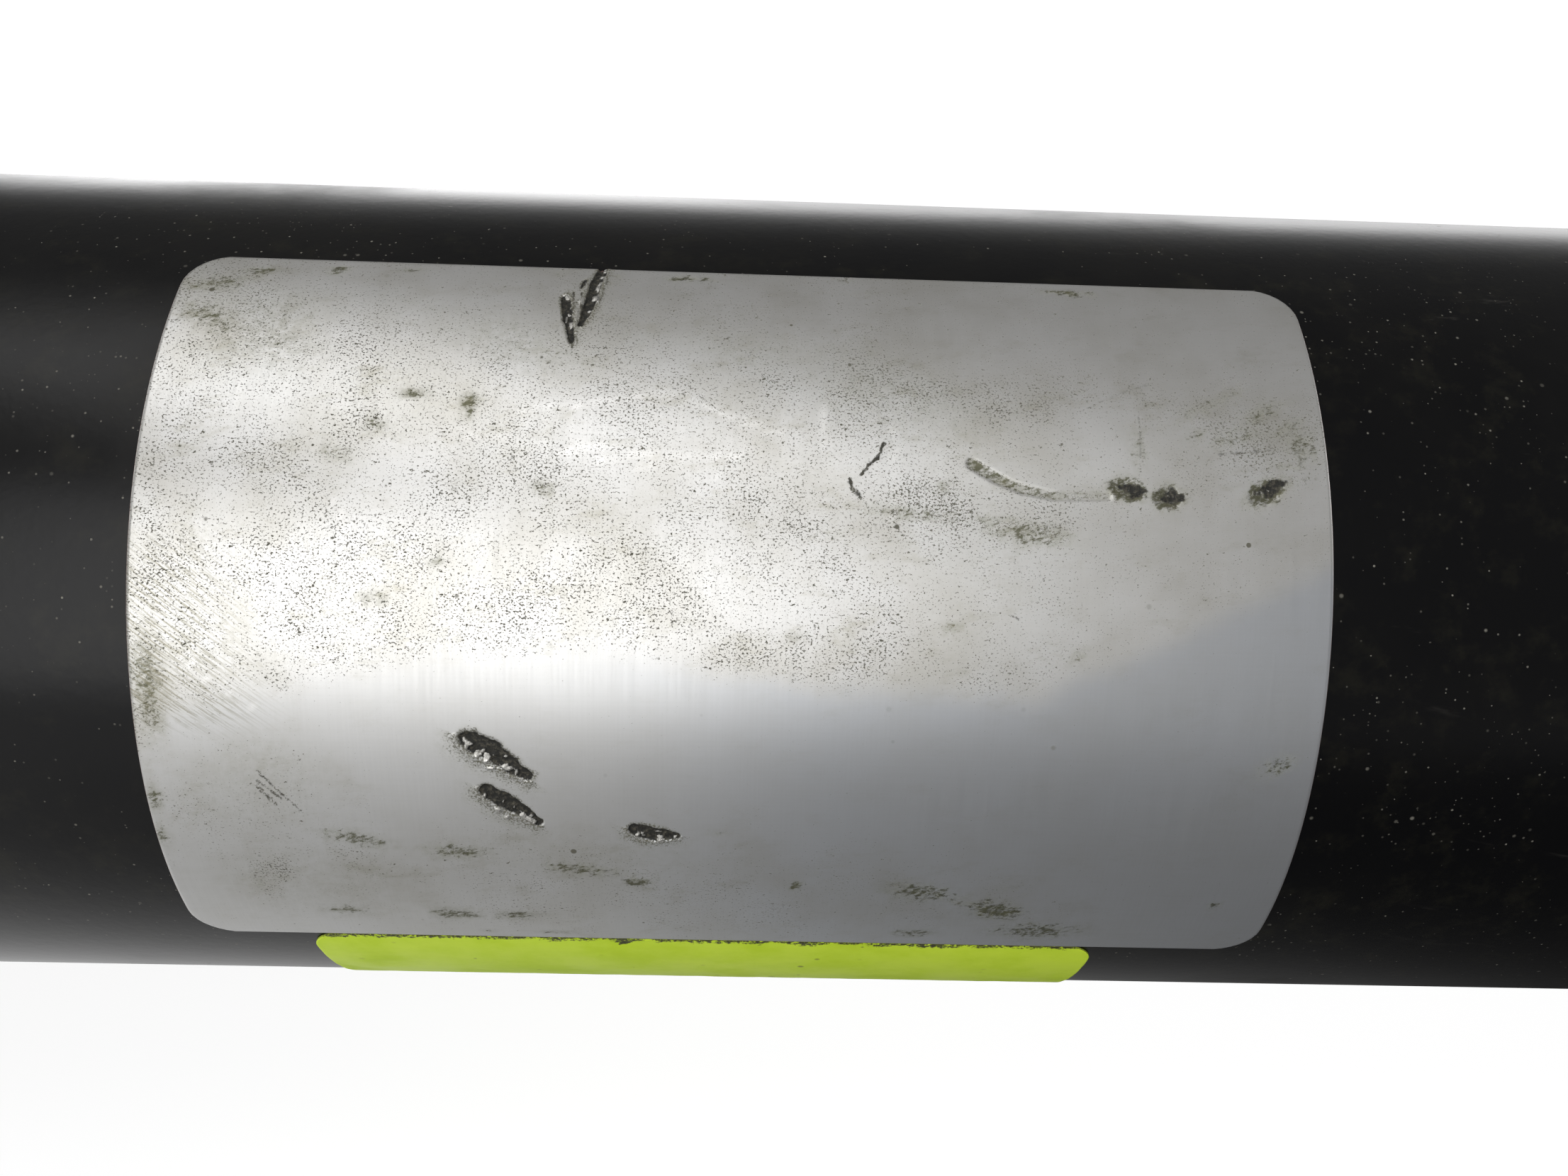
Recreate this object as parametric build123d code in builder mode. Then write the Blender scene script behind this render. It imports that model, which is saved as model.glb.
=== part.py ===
"""Compact two-pass shell and tube heat exchanger, lying on two feet.

A steel shell tube is brazed into a hub at each end. Each hub carries a radial oil port, holds a
tubesheet in its face and takes a cast iron bonnet on four bolts. The front bonnet has a pass
partition and both water ports, and the rear bonnet turns the water back. Copper tubes run from
tubesheet to tubesheet through segmental baffles. A data plate and a plain sticker are wrapped
round the shell.

Sizes are in millimetres. X runs along the shell towards the front bonnet, Z is up, and the
origin is on the floor, midway between the feet.
"""

from build123d import *
from math import cos, hypot, isclose, radians, sin, sqrt
import os

# Shell and its height over the floor
shell_outer_diameter = 88.9
shell_wall = 3.2
shell_axis_height = 76.2

# Copper tubes and how they are set out
tube_length = 914.4
tube_diameter = 9.525
tube_wall = 0.9
tube_pitch = 14.0
pass_lane = 17.0
tube_end_projection = 1.0
bundle_clearance = 0.4

# Tubesheets and baffles
tubesheet_thickness = 12.0
tubesheet_seat_width = 6.0
baffle_thickness = 3.0
baffle_count = 5
baffle_shell_clearance = 0.3
baffle_hole_clearance = 0.15
baffle_cut_share = 0.45

# Hubs
hub_flange_thickness = 16.0
hub_flange_edge = 8.5
hub_nose_past_boss = 7.0
hub_socket_depth = 12.0
hub_socket_wall = 5.0
hub_edge_chamfer = 1.0
hub_nose_chamfer = 3.0

# Bolts that hold the bonnets
bolt_count = 4
bolt_offset_from_seat = 11.25
bolt_tapped_diameter = 6.6
bolt_clearance_diameter = 8.8

# Oil ports, with a straight thread and an O-ring seat
oil_boss_diameter = 48.0
oil_boss_height = 20.5
oil_boss_wall = 8.35
oil_thread_depth = 19.0
oil_thread_shoulder = 2.65
oil_seat_flare = 2.3
oil_seat_depth = 2.4
oil_spigot_wall = 3.5
oil_boss_edge = 1.5
oil_boss_from_flange = 3.0

# Gaskets
gasket_thickness = 1.6
gasket_tube_clearance = 0.7375

# Bonnets
bonnet_flange_thickness = 12.0
bonnet_wall = 5.0
bonnet_root_radius = 2.5
bonnet_nose_radius = 6.0
front_bonnet_depth = 44.0
front_end_wall = 9.0
rear_bonnet_depth = 40.0
rear_end_wall = 6.0

# Water ports, with a taper thread
water_boss_diameter = 38.0
water_boss_wall = 6.9
water_boss_length = 13.0
water_port_spacing = 44.0
water_port_chamfer = 1.5

# Vent and drain plugs
plug_boss_diameter = 19.0
plug_boss_height = 6.5
plug_boss_from_flange = 6.5
plug_boss_wall = 3.9
plug_shank_clearance = 0.5
plug_drill_overrun = 3.0
plug_square = 9.6
plug_square_height = 7.5
plug_collar_height = 1.5
plug_edge = 0.8

# Feet
foot_width = 140.0
foot_plate = 4.8
foot_depth = 42.0
foot_bend_radius = 3.0
foot_strip_height = 13.0
foot_ear_radius = 10.5
foot_bonnet_clearance = 1.5
foot_corner_radius = 8.0
foot_slot_width = 11.0
foot_slot_length = 22.0
foot_slot_from_side = 16.0
foot_slot_from_edge = 13.2
foot_plug_clearance = 1.2

# Data plate and sticker on the shell, with the angle up from level at the plate's middle
label_length = 101.0
label_height = 69.85
label_thickness = 0.3
label_corner_radius = 4.0
label_angle = 30.0
sticker_length = 76.2
sticker_height = 50.8
sticker_thickness = 0.2
sticker_corner_radius = 3.2
sticker_gap = 0.3
sticker_offset = -2.4
adhesive_film = 0.05

# Sizes that follow from the ones above
shell_radius = shell_outer_diameter / 2
shell_bore_radius = shell_radius - shell_wall
face_x = tube_length / 2
hub_length = hub_flange_thickness + oil_boss_from_flange + oil_boss_diameter + hub_nose_past_boss
seat_radius = shell_bore_radius + tubesheet_seat_width
bolt_circle_radius = seat_radius + bolt_offset_from_seat
hub_flange_radius = bolt_circle_radius + hub_flange_edge
hub_barrel_radius = shell_radius + hub_socket_wall
shell_length = tube_length - 2 * (hub_length - hub_socket_depth)
oil_port_x = face_x - hub_flange_thickness - oil_boss_from_flange - oil_boss_diameter / 2
oil_port_top = hub_barrel_radius + oil_boss_height
oil_thread_diameter = oil_boss_diameter - 2 * oil_boss_wall
oil_seat_diameter = oil_thread_diameter + 2 * oil_seat_flare
oil_passage_diameter = oil_thread_diameter - 2 * oil_thread_shoulder
oil_spigot_diameter = oil_passage_diameter + 2 * oil_spigot_wall
gasket_strip_width = pass_lane - tube_diameter - 2 * gasket_tube_clearance
bonnet_face_x = face_x + gasket_thickness
bonnet_flange_face_x = bonnet_face_x + bonnet_flange_thickness
bonnet_radius = shell_bore_radius + bonnet_wall
bonnet_ear_radius = hub_flange_edge
water_thread_diameter = water_boss_diameter - 2 * water_boss_wall
plug_x = bonnet_flange_face_x + plug_boss_from_flange + plug_boss_diameter / 2
plug_boss_top = bonnet_radius + plug_boss_height
plug_shank_diameter = plug_boss_diameter - 2 * plug_boss_wall
plug_shank_length = bonnet_wall + plug_boss_height - plug_shank_clearance
plug_drill_depth = bonnet_wall + plug_boss_height + plug_drill_overrun
foot_arch_radius = bonnet_radius + bonnet_root_radius + foot_bonnet_clearance
foot_slot_x = bonnet_flange_face_x + foot_depth - foot_slot_from_edge
foot_slot_y = foot_width / 2 - foot_slot_from_side
foot_plug_hole_radius = plug_square / sqrt(2) + foot_plug_clearance
bundle_radius = shell_bore_radius - tube_diameter / 2 - bundle_clearance
FRONT = 1
REAR = -1


def end_plane(side, distance):
    """Plane across the shell, facing away from its middle, with its own y axis up."""
    return Plane(origin=(side * distance, 0, shell_axis_height), x_dir=(0, side, 0), z_dir=(side, 0, 0))


def level_plane(x, height):
    """Level plane over the shell's axis at a distance along it."""
    return Plane.XY.offset(shell_axis_height + height).move(Location((x, 0, 0)))


def pass_tube_places(upper):
    """Tube centres of one pass, as y and height over the axis, on a triangular pitch."""
    places = []
    row = 0
    height = pass_lane / 2
    while height <= bundle_radius:
        first = 0 if row % 2 == 0 else tube_pitch / 2
        columns = [first + tube_pitch * n for n in range(int(bundle_radius / tube_pitch) + 1)]
        for offset in columns:
            if hypot(offset, height) <= bundle_radius:
                places += [(offset, height)] if offset == 0 else [(offset, height), (-offset, height)]
        row += 1
        height = pass_lane / 2 + row * tube_pitch * sqrt(3) / 2
    return places if upper else [(y, -z) for y, z in places]


def edges_at(builder, x):
    """Round edges of the open part that lie in the plane across the shell at x."""
    margin = 0.01
    return builder.edges().filter_by(GeomType.CIRCLE).filter_by_position(Axis.X, x - margin, x + margin)


def save(part, name):
    """Labels a finished piece and writes it under its own name."""
    part.label = name
    export_step(part, f"parts/{name}.step")


os.makedirs("parts", exist_ok=True)
tube_places = pass_tube_places(True) + pass_tube_places(False)

# Shell tube, open at both ends and seated in the hubs
with BuildPart() as shell_tube:
    with BuildSketch(end_plane(FRONT, -shell_length / 2)):
        Circle(shell_radius)
        Circle(shell_bore_radius, mode=Mode.SUBTRACT)
    extrude(amount=shell_length)
save(shell_tube.part, "shell_tube")


def make_hub(side):
    """Turned steel hub: a drilled flange, a barrel with the shell's socket, and the tubesheet's seat."""
    with BuildPart() as hub:
        with BuildSketch(end_plane(side, face_x)):
            Circle(hub_flange_radius)
        extrude(amount=-hub_flange_thickness)
        chamfer(hub.edges().filter_by(GeomType.CIRCLE), hub_edge_chamfer)
        with BuildSketch(end_plane(side, face_x)):
            Circle(hub_barrel_radius)
        extrude(amount=-hub_length)
        chamfer(edges_at(hub, side * (face_x - hub_length)), hub_nose_chamfer)
        with BuildSketch(end_plane(side, face_x)):
            Circle(shell_bore_radius)
        extrude(amount=-hub_length, mode=Mode.SUBTRACT)
        with BuildSketch(end_plane(side, face_x)):
            Circle(seat_radius)
        extrude(amount=-tubesheet_thickness, mode=Mode.SUBTRACT)
        with BuildSketch(end_plane(side, face_x - hub_length)):
            Circle(shell_radius)
        extrude(amount=hub_socket_depth, mode=Mode.SUBTRACT)
        with BuildSketch(end_plane(side, face_x)):
            with PolarLocations(bolt_circle_radius, bolt_count, start_angle=180 / bolt_count):
                Circle(bolt_tapped_diameter / 2)
        extrude(amount=-hub_flange_thickness, mode=Mode.SUBTRACT)
        with BuildSketch(level_plane(side * oil_port_x, 0)):
            Circle(oil_spigot_diameter / 2)
        extrude(amount=hub_barrel_radius + hub_socket_wall, mode=Mode.SUBTRACT)
    return hub.part


def make_oil_port(side):
    """Weld boss for an oil connection: saddled on the hub's barrel, with a spigot through its wall."""
    centre = level_plane(side * oil_port_x, 0)
    top = level_plane(side * oil_port_x, oil_port_top)
    with BuildPart() as port:
        with BuildSketch(centre):
            Circle(oil_boss_diameter / 2)
        extrude(amount=oil_port_top)
        chamfer(port.edges().group_by(Axis.Z)[-1], oil_boss_edge)
        with BuildSketch(end_plane(side, oil_port_x - oil_boss_diameter)):
            Circle(hub_barrel_radius)
        extrude(amount=2 * oil_boss_diameter, mode=Mode.SUBTRACT)
        with BuildSketch(centre):
            Circle(oil_spigot_diameter / 2)
        extrude(amount=oil_port_top - oil_boss_edge)
        with BuildSketch(end_plane(side, oil_port_x - oil_boss_diameter)):
            Circle(shell_bore_radius)
        extrude(amount=2 * oil_boss_diameter, mode=Mode.SUBTRACT)
        with BuildSketch(top):
            Circle(oil_passage_diameter / 2)
        extrude(amount=-oil_port_top, mode=Mode.SUBTRACT)
        with BuildSketch(top):
            Circle(oil_thread_diameter / 2)
        extrude(amount=-oil_thread_depth, mode=Mode.SUBTRACT)
        with BuildSketch(top):
            Circle(oil_seat_diameter / 2)
        with BuildSketch(top.offset(-oil_seat_depth)):
            Circle(oil_thread_diameter / 2)
        loft(mode=Mode.SUBTRACT)
    return port.part


for side, end in ((FRONT, "front"), (REAR, "rear")):
    save(make_hub(side), f"{end}_hub")
    save(make_oil_port(side), f"{end}_oil_port")


def make_tubesheet(side):
    """Round plate that closes the shell side and holds the tube ends."""
    with BuildPart() as tubesheet:
        with BuildSketch(end_plane(side, face_x)):
            Circle(seat_radius)
            with Locations(*tube_places):
                Circle(tube_diameter / 2, mode=Mode.SUBTRACT)
        extrude(amount=-tubesheet_thickness)
    return tubesheet.part


save(make_tubesheet(FRONT), "front_tubesheet")
save(make_tubesheet(REAR), "rear_tubesheet")

# Copper tubes, one node for each pass, standing a little proud of both tubesheets
for upper, name in ((True, "upper_pass_tubes"), (False, "lower_pass_tubes")):
    with BuildPart() as tubes:
        with BuildSketch(end_plane(FRONT, -face_x - tube_end_projection)):
            with Locations(*pass_tube_places(upper)):
                Circle(tube_diameter / 2)
                Circle(tube_diameter / 2 - tube_wall, mode=Mode.SUBTRACT)
        extrude(amount=tube_length + 2 * tube_end_projection)
    save(tubes.part, name)

# Segmental baffles, cut away at the top and at the bottom by turns
with BuildPart() as baffles:
    baffle_radius = shell_bore_radius - baffle_shell_clearance
    spacing = tube_length / (baffle_count + 1)
    for number in range(baffle_count):
        middle = -face_x + spacing * (number + 1)
        window = 1 if number % 2 == 0 else -1
        with BuildSketch(end_plane(FRONT, middle - baffle_thickness / 2)):
            Circle(baffle_radius)
            with Locations((0, window * baffle_radius * (1 + baffle_cut_share))):
                Rectangle(2 * baffle_radius, 2 * baffle_radius, mode=Mode.SUBTRACT)
            with Locations(*tube_places):
                Circle(tube_diameter / 2 + baffle_hole_clearance, mode=Mode.SUBTRACT)
        extrude(amount=baffle_thickness)
save(baffles.part, "baffles")


def bonnet_outline():
    """Square flange outline with a bolt in each rounded corner, drawn in the open sketch."""
    corner = bolt_circle_radius / sqrt(2) + bonnet_ear_radius
    RectangleRounded(2 * corner, 2 * corner, bonnet_ear_radius)


def make_gasket(side, has_strip):
    """Flat gasket between hub and bonnet, with a strip across the middle under a partition."""
    with BuildPart() as gasket:
        with BuildSketch(end_plane(side, face_x)):
            bonnet_outline()
            Circle(shell_bore_radius, mode=Mode.SUBTRACT)
            if has_strip:
                Rectangle(2 * shell_bore_radius + gasket_strip_width, gasket_strip_width)
            with PolarLocations(bolt_circle_radius, bolt_count, start_angle=180 / bolt_count):
                Circle(bolt_clearance_diameter / 2, mode=Mode.SUBTRACT)
        extrude(amount=gasket_thickness)
    return gasket.part


save(make_gasket(FRONT, True), "front_gasket")
save(make_gasket(REAR, False), "rear_gasket")


def make_bonnet(side, depth, end_wall, has_ports):
    """Cast iron bonnet: a square flange, a round body with vent and drain bosses, and any water ports.

    With ports, a partition as wide as the gasket's strip parts the two passes.
    """
    face = end_plane(side, bonnet_face_x)
    end_face = face.offset(depth)
    port_places = [(0, water_port_spacing / 2), (0, -water_port_spacing / 2)]
    with BuildPart() as bonnet:
        with BuildSketch(face):
            Circle(bonnet_radius)
        extrude(amount=depth)
        fillet(edges_at(bonnet, side * (bonnet_face_x + depth)), bonnet_nose_radius)
        for way in (1, -1):
            with BuildSketch(level_plane(side * plug_x, 0)):
                Circle(plug_boss_diameter / 2)
            extrude(amount=way * plug_boss_top)
        with BuildSketch(face):
            bonnet_outline()
        extrude(amount=bonnet_flange_thickness)
        roots = edges_at(bonnet, side * bonnet_flange_face_x)
        fillet(roots.filter_by(lambda e: isclose(e.radius, bonnet_radius)), bonnet_root_radius)
        if has_ports:
            with BuildSketch(end_face):
                with Locations(*port_places):
                    Circle(water_boss_diameter / 2)
                Rectangle(water_boss_diameter, water_port_spacing)
            extrude(amount=water_boss_length)
        with BuildSketch(face):
            Circle(shell_bore_radius)
            if has_ports:
                Rectangle(2 * bonnet_radius, gasket_strip_width, mode=Mode.SUBTRACT)
        extrude(amount=depth - end_wall, mode=Mode.SUBTRACT)
        if has_ports:
            with BuildSketch(end_face.offset(water_boss_length)):
                with Locations(*port_places):
                    Circle(water_thread_diameter / 2)
            extrude(amount=-water_boss_length - end_wall, mode=Mode.SUBTRACT)
            rims = edges_at(bonnet, side * (bonnet_face_x + depth + water_boss_length))
            mouths = rims.filter_by(lambda e: isclose(e.radius, water_thread_diameter / 2))
            chamfer(mouths, water_port_chamfer)
        with BuildSketch(face):
            with PolarLocations(bolt_circle_radius, bolt_count, start_angle=180 / bolt_count):
                Circle(bolt_clearance_diameter / 2)
        extrude(amount=bonnet_flange_thickness, mode=Mode.SUBTRACT)
        for way in (1, -1):
            with BuildSketch(level_plane(side * plug_x, way * plug_boss_top)):
                Circle(plug_shank_diameter / 2)
            extrude(amount=-way * plug_drill_depth, mode=Mode.SUBTRACT)
    return bonnet.part


save(make_bonnet(FRONT, front_bonnet_depth, front_end_wall, True), "front_bonnet")
save(make_bonnet(REAR, rear_bonnet_depth, rear_end_wall, False), "rear_bonnet")


def make_plug(side, way):
    """Square-headed pipe plug, screwed into a bonnet's vent boss above or drain boss below."""
    seat = level_plane(side * plug_x, way * plug_boss_top)
    with BuildPart() as plug:
        with BuildSketch(seat):
            Circle(plug_shank_diameter / 2)
        extrude(amount=way * plug_collar_height)
        with BuildSketch(seat):
            Circle(plug_shank_diameter / 2)
        extrude(amount=-way * plug_shank_length)
        with BuildSketch(seat.offset(way * plug_collar_height)):
            Rectangle(plug_square, plug_square)
        extrude(amount=way * plug_square_height)
        chamfer(plug.faces().sort_by(Axis.Z, reverse=way > 0)[0].edges(), plug_edge)
    return plug.part


for side, end in ((FRONT, "front"), (REAR, "rear")):
    save(make_plug(side, 1), f"{end}_vent_plug")
    save(make_plug(side, -1), f"{end}_drain_plug")


def make_foot(side):
    """Bent plate foot on the two lower bonnet bolts, slotted for floor bolts and open under the drain."""
    inner = bonnet_flange_face_x
    outer = inner + foot_depth
    plate_middle = side * (inner + foot_plate / 2)
    bolt_drop = bolt_circle_radius / sqrt(2)
    bolt_places = [(bolt_drop, -bolt_drop), (-bolt_drop, -bolt_drop)]
    slot_places = [(side * foot_slot_x, foot_slot_y), (side * foot_slot_x, -foot_slot_y)]
    with BuildPart() as foot:
        with BuildSketch(Plane.XZ.offset(-foot_width / 2)):
            with BuildLine():
                FilletPolyline(
                    (side * outer, foot_plate / 2),
                    (plate_middle, foot_plate / 2),
                    (plate_middle, shell_axis_height),
                    radius=foot_bend_radius + foot_plate / 2,
                )
            trace(line_width=foot_plate)
        extrude(amount=foot_width)
        with BuildSketch(end_plane(side, inner)):
            with Locations(*bolt_places):
                Circle(foot_ear_radius)
            with Locations((0, foot_strip_height / 2 - shell_axis_height)):
                Rectangle(foot_width, foot_strip_height)
            make_hull()
        extrude(amount=foot_depth, mode=Mode.INTERSECT)
        with BuildSketch(end_plane(side, inner)):
            Circle(foot_arch_radius)
            with Locations(*bolt_places):
                Circle(bolt_clearance_diameter / 2)
        extrude(amount=foot_depth, mode=Mode.SUBTRACT)
        corners = foot.edges().filter_by(Axis.Z).group_by(Axis.X)[-1 if side > 0 else 0]
        fillet(corners, foot_corner_radius)
        with BuildSketch(Plane.XY):
            with Locations(*slot_places):
                SlotOverall(foot_slot_length, foot_slot_width)
            with Locations((side * plug_x, 0)):
                Circle(foot_plug_hole_radius)
        extrude(amount=foot_plate, mode=Mode.SUBTRACT)
    return foot.part


save(make_foot(FRONT), "front_foot")
save(make_foot(REAR), "rear_foot")


def make_wrap(length, height, thickness, corner_radius, middle_x, middle_angle):
    """Thin plate wrapped round the shell, with rounded corners, set at an angle up from level."""
    inner_radius = shell_radius + adhesive_film
    half_sweep = height / shell_radius / 2
    reach = 2 * shell_radius
    edge = (reach * cos(half_sweep), reach * sin(half_sweep))
    start = Plane(
        origin=(middle_x - length / 2, 0, shell_axis_height),
        x_dir=(0, -cos(middle_angle), sin(middle_angle)),
        z_dir=(1, 0, 0),
    )
    with BuildPart() as wrap:
        with BuildSketch(start):
            Circle(inner_radius + thickness)
            Circle(inner_radius, mode=Mode.SUBTRACT)
            with BuildLine():
                Polyline((0, 0), edge, (edge[0], -edge[1]), close=True)
            make_face(mode=Mode.INTERSECT)
        extrude(amount=length)
        fillet(wrap.edges().filter_by(lambda e: e.length < 2 * thickness), corner_radius)
    return wrap.part


plate_angle = radians(label_angle)
data_plate = make_wrap(label_length, label_height, label_thickness, label_corner_radius, 0, plate_angle)
save(data_plate, "data_plate")

angle_apart = (label_height / 2 + sticker_gap + sticker_height / 2) / shell_radius
sticker_angle = plate_angle - angle_apart
plain_sticker = make_wrap(
    sticker_length, sticker_height, sticker_thickness, sticker_corner_radius, sticker_offset, sticker_angle
)
save(plain_sticker, "plain_sticker")
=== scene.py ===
from functools import partialmethod
from math import cos, hypot, pi, radians, sin, sqrt

import bmesh
import bpy
import numpy as np
from mathutils import Matrix, Vector, noise


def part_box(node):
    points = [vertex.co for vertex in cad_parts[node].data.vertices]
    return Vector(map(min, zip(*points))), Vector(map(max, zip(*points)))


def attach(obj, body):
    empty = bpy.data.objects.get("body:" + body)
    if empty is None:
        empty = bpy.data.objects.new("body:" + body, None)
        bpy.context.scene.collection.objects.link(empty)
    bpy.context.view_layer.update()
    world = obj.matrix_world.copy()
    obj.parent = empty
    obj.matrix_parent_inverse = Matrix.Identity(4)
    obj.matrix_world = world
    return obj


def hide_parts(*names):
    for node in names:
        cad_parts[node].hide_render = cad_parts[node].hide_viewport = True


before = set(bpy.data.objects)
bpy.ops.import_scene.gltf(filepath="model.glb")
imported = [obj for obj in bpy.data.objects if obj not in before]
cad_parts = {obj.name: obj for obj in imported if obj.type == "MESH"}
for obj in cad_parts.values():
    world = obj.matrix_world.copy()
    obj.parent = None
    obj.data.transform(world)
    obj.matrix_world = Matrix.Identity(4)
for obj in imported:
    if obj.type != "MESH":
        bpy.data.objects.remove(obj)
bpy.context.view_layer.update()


# Shell tube: drawn steel, 88.9 mm across, brazed into a hub at each end and then sprayed semi-gloss
# black. Years of handling have left pale dust specks, a brownish film and fine scuffs in the paint.
axis_height = 0.0762
shell_radius = 0.04445
shell_bore_radius = 0.04125
shell_half_length = 0.3952
shell_lip = 0.0006
shell_sides = 360
shell_rings = 120


class Field:
    """Value that a tree gives at every place. Plain arithmetic on it adds the tree's math nodes."""

    def __init__(self, node, output=0):
        self.socket, self.tree = node.outputs[output], node.id_data

    def sums(self, operation, other=0.0):
        """Result of a math node on this field and another field or number."""
        return Field(put(self.tree, "ShaderNodeMath", {0: self, 1: other}, operation=operation))

    def __rsub__(self, number):
        return self * -1.0 + number

    __add__ = partialmethod(sums, "ADD")
    __sub__ = partialmethod(sums, "SUBTRACT")
    __mul__ = partialmethod(sums, "MULTIPLY")
    __truediv__ = partialmethod(sums, "DIVIDE")
    __pow__ = partialmethod(sums, "POWER")
    __lt__ = partialmethod(sums, "LESS_THAN")
    __gt__ = partialmethod(sums, "GREATER_THAN")


def fill(node, feeds):
    """Fills a node's inputs from numbers, fields or other nodes."""
    for key, value in feeds.items():
        if isinstance(value, bpy.types.Node):
            value = Field(value)
        if isinstance(value, Field):
            value.tree.links.new(value.socket, node.inputs[key])
        else:
            node.inputs[key].default_value = value


def put(tree, kind, feeds={}, **settings):
    """Adds a node to a tree: settings are its own choices, and feeds fill its inputs."""
    node = tree.nodes.new(kind)
    for key, value in settings.items():
        setattr(node, key, value)
    fill(node, feeds)
    return node


def larger(first, *others):
    """Largest of some fields, place by place."""
    for other in others:
        first = first.sums("MAXIMUM", other)
    return first


def rise(value, low, high, bottom=0.0, top=1.0):
    """Smooth step of a field from bottom to top between two levels."""
    feeds = {"Value": value, "From Min": low, "From Max": high, "To Min": bottom, "To Max": top}
    return Field(put(value.tree, "ShaderNodeMapRange", feeds, interpolation_type="SMOOTHSTEP"), "Result")


def grain(place, scale, detail=4.0, roughness=0.55, stretch=None, turn=(0, 0, 0)):
    """Noise over a place. A stretch makes its grain longer along axes that are turned first."""
    if stretch:
        feeds = {"Vector": place, "Rotation": turn, "Scale": stretch}
        place = Field(put(place.tree, "ShaderNodeMapping", feeds, vector_type="TEXTURE"))
    feeds = {"Vector": place, "Scale": scale, "Detail": detail, "Roughness": roughness}
    return Field(put(place.tree, "ShaderNodeTexNoise", feeds), "Fac")


def blend_colours(share, below, above):
    """Colour that goes from one to the other with the share."""
    below, above = (side if isinstance(side, Field) else (*side, 1) for side in (below, above))
    feeds = {"Factor": share, "A": below, "B": above}
    return Field(put(share.tree, "ShaderNodeMix", feeds, data_type="RGBA"), "Result")


def layered(base, *layers):
    """Colour of a base with layers over it in turn, each a share and its colour."""
    for share, colour in layers:
        base = blend_colours(share, base, colour)
    return base


def start_finish(name, **constants):
    """New material: its shader with the even values set, and the object's own coordinates."""
    material = bpy.data.materials.new(name)
    material.use_nodes = True
    shader = material.node_tree.nodes["Principled BSDF"]
    fill(shader, {key.replace("_", " "): value for key, value in constants.items()})
    return material, shader, Field(put(material.node_tree, "ShaderNodeTexCoord"), "Object")


def emboss(shader, height, distance, strength=1.0):
    """Bump of a height map, given in metres, on the shader."""
    feeds = {"Height": height, "Distance": distance, "Strength": strength}
    fill(shader, {"Normal": put(height.tree, "ShaderNodeBump", feeds)})


def specks(place, scale, size, share):
    """Small soft specks: one in some of the cells, each with its own size and strength."""
    cells = put(place.tree, "ShaderNodeTexVoronoi", {"Vector": place, "Scale": scale})
    tint = put(place.tree, "ShaderNodeSeparateColor", {"Color": Field(cells, "Color")})
    chance, width, weight = (Field(tint, part) for part in ("Red", "Green", "Blue"))
    spot = rise(Field(cells, "Distance") / (width * size + size * 0.3), 1.0, 0.35)
    return spot * (weight ** 2.5 * 0.8 + 0.2) * (chance < share)


def make_paint(name, grit, gloss):
    """Semi-gloss black paint with a dusty film, pale specks and scuffs, on a skin with a grit and gloss."""
    material, shader, place = start_finish(name, Specular_IOR_Level=gloss)
    film = rise(grain(place, 16, 6, 0.62), 0.42, 0.72)
    blotch = rise(grain(place, 240, 4, 0.7), 0.5, 0.75)
    clusters = rise(grain(place, 34, 3), 0.35, 0.66, 0.04, 0.3)
    dust = larger(specks(place, 2200, 0.26, clusters), specks(place, 800, 0.16, clusters))
    scuff = rise(grain(place, 260, 5, 0.7, (9, 1, 1), (0.3, 0.2, 0.1)), 0.62, 0.72)
    scuff = scuff * rise(grain(place, 5, 2), 0.45, 0.65)
    colour = layered((0.003, 0.003, 0.0034), (film, (0.0088, 0.0082, 0.007)),
                     (blotch * 0.5, (0.015, 0.0142, 0.0095)), (scuff, (0.04, 0.037, 0.033)),
                     (dust, (0.22, 0.21, 0.18)))
    dull = rise(film, 0, 1, 0.29, 0.42) + scuff * 0.15 + dust * 0.3
    fill(shader, {"Base Color": colour, "Roughness": dull})
    emboss(shader, grain(place, 1100, 2) + dust * 1.2, grit, 0.6)
    return material


def skin(rings, loop=False):
    """Mesh drawn over rings of points, joined end to end as a loop or else capped at both ends."""
    work = bmesh.new()
    rows = [[work.verts.new(point) for point in ring] for ring in rings]
    pairs = list(zip(rows, rows[1:])) + ([(rows[-1], rows[0])] if loop else [])
    for near, far in pairs:
        for k in range(len(near)):
            work.faces.new((near[k - 1], near[k], far[k], far[k - 1]))
    if not loop:
        work.faces.new(rows[0])
        work.faces.new(rows[-1])
    bmesh.ops.recalc_face_normals(work, faces=work.faces)
    return work


def even_angles(count):
    """Angles of even steps round a circle."""
    return [2 * pi * k / count for k in range(count)]


def ring_of(x, radii, angles, middle=axis_height):
    """Points of a ring square to the shell's axis, with one radius or one for each angle."""
    radii = radii if isinstance(radii, list) else [radii] * len(angles)
    return [(x, r * cos(a), middle + r * sin(a)) for r, a in zip(radii, angles)]


def turned(outline, sides, middle=axis_height):
    """Closed section of x and radius, turned round a line along the shell."""
    return skin([ring_of(x, r, even_angles(sides), middle) for x, r in outline], loop=True)


def smooth_mesh(work, name, sharp):
    """Mesh that shades smooth, but for edges sharper than an angle in degrees."""
    mesh = bpy.data.meshes.new(name)
    work.to_mesh(mesh)
    work.free()
    mesh.shade_smooth()
    mesh.set_sharp_from_angle(angle=radians(sharp))
    return mesh


def add_object(name, data):
    """New object at the origin of the scene."""
    made = bpy.data.objects.new(name, data)
    bpy.context.scene.collection.objects.link(made)
    return made


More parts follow.
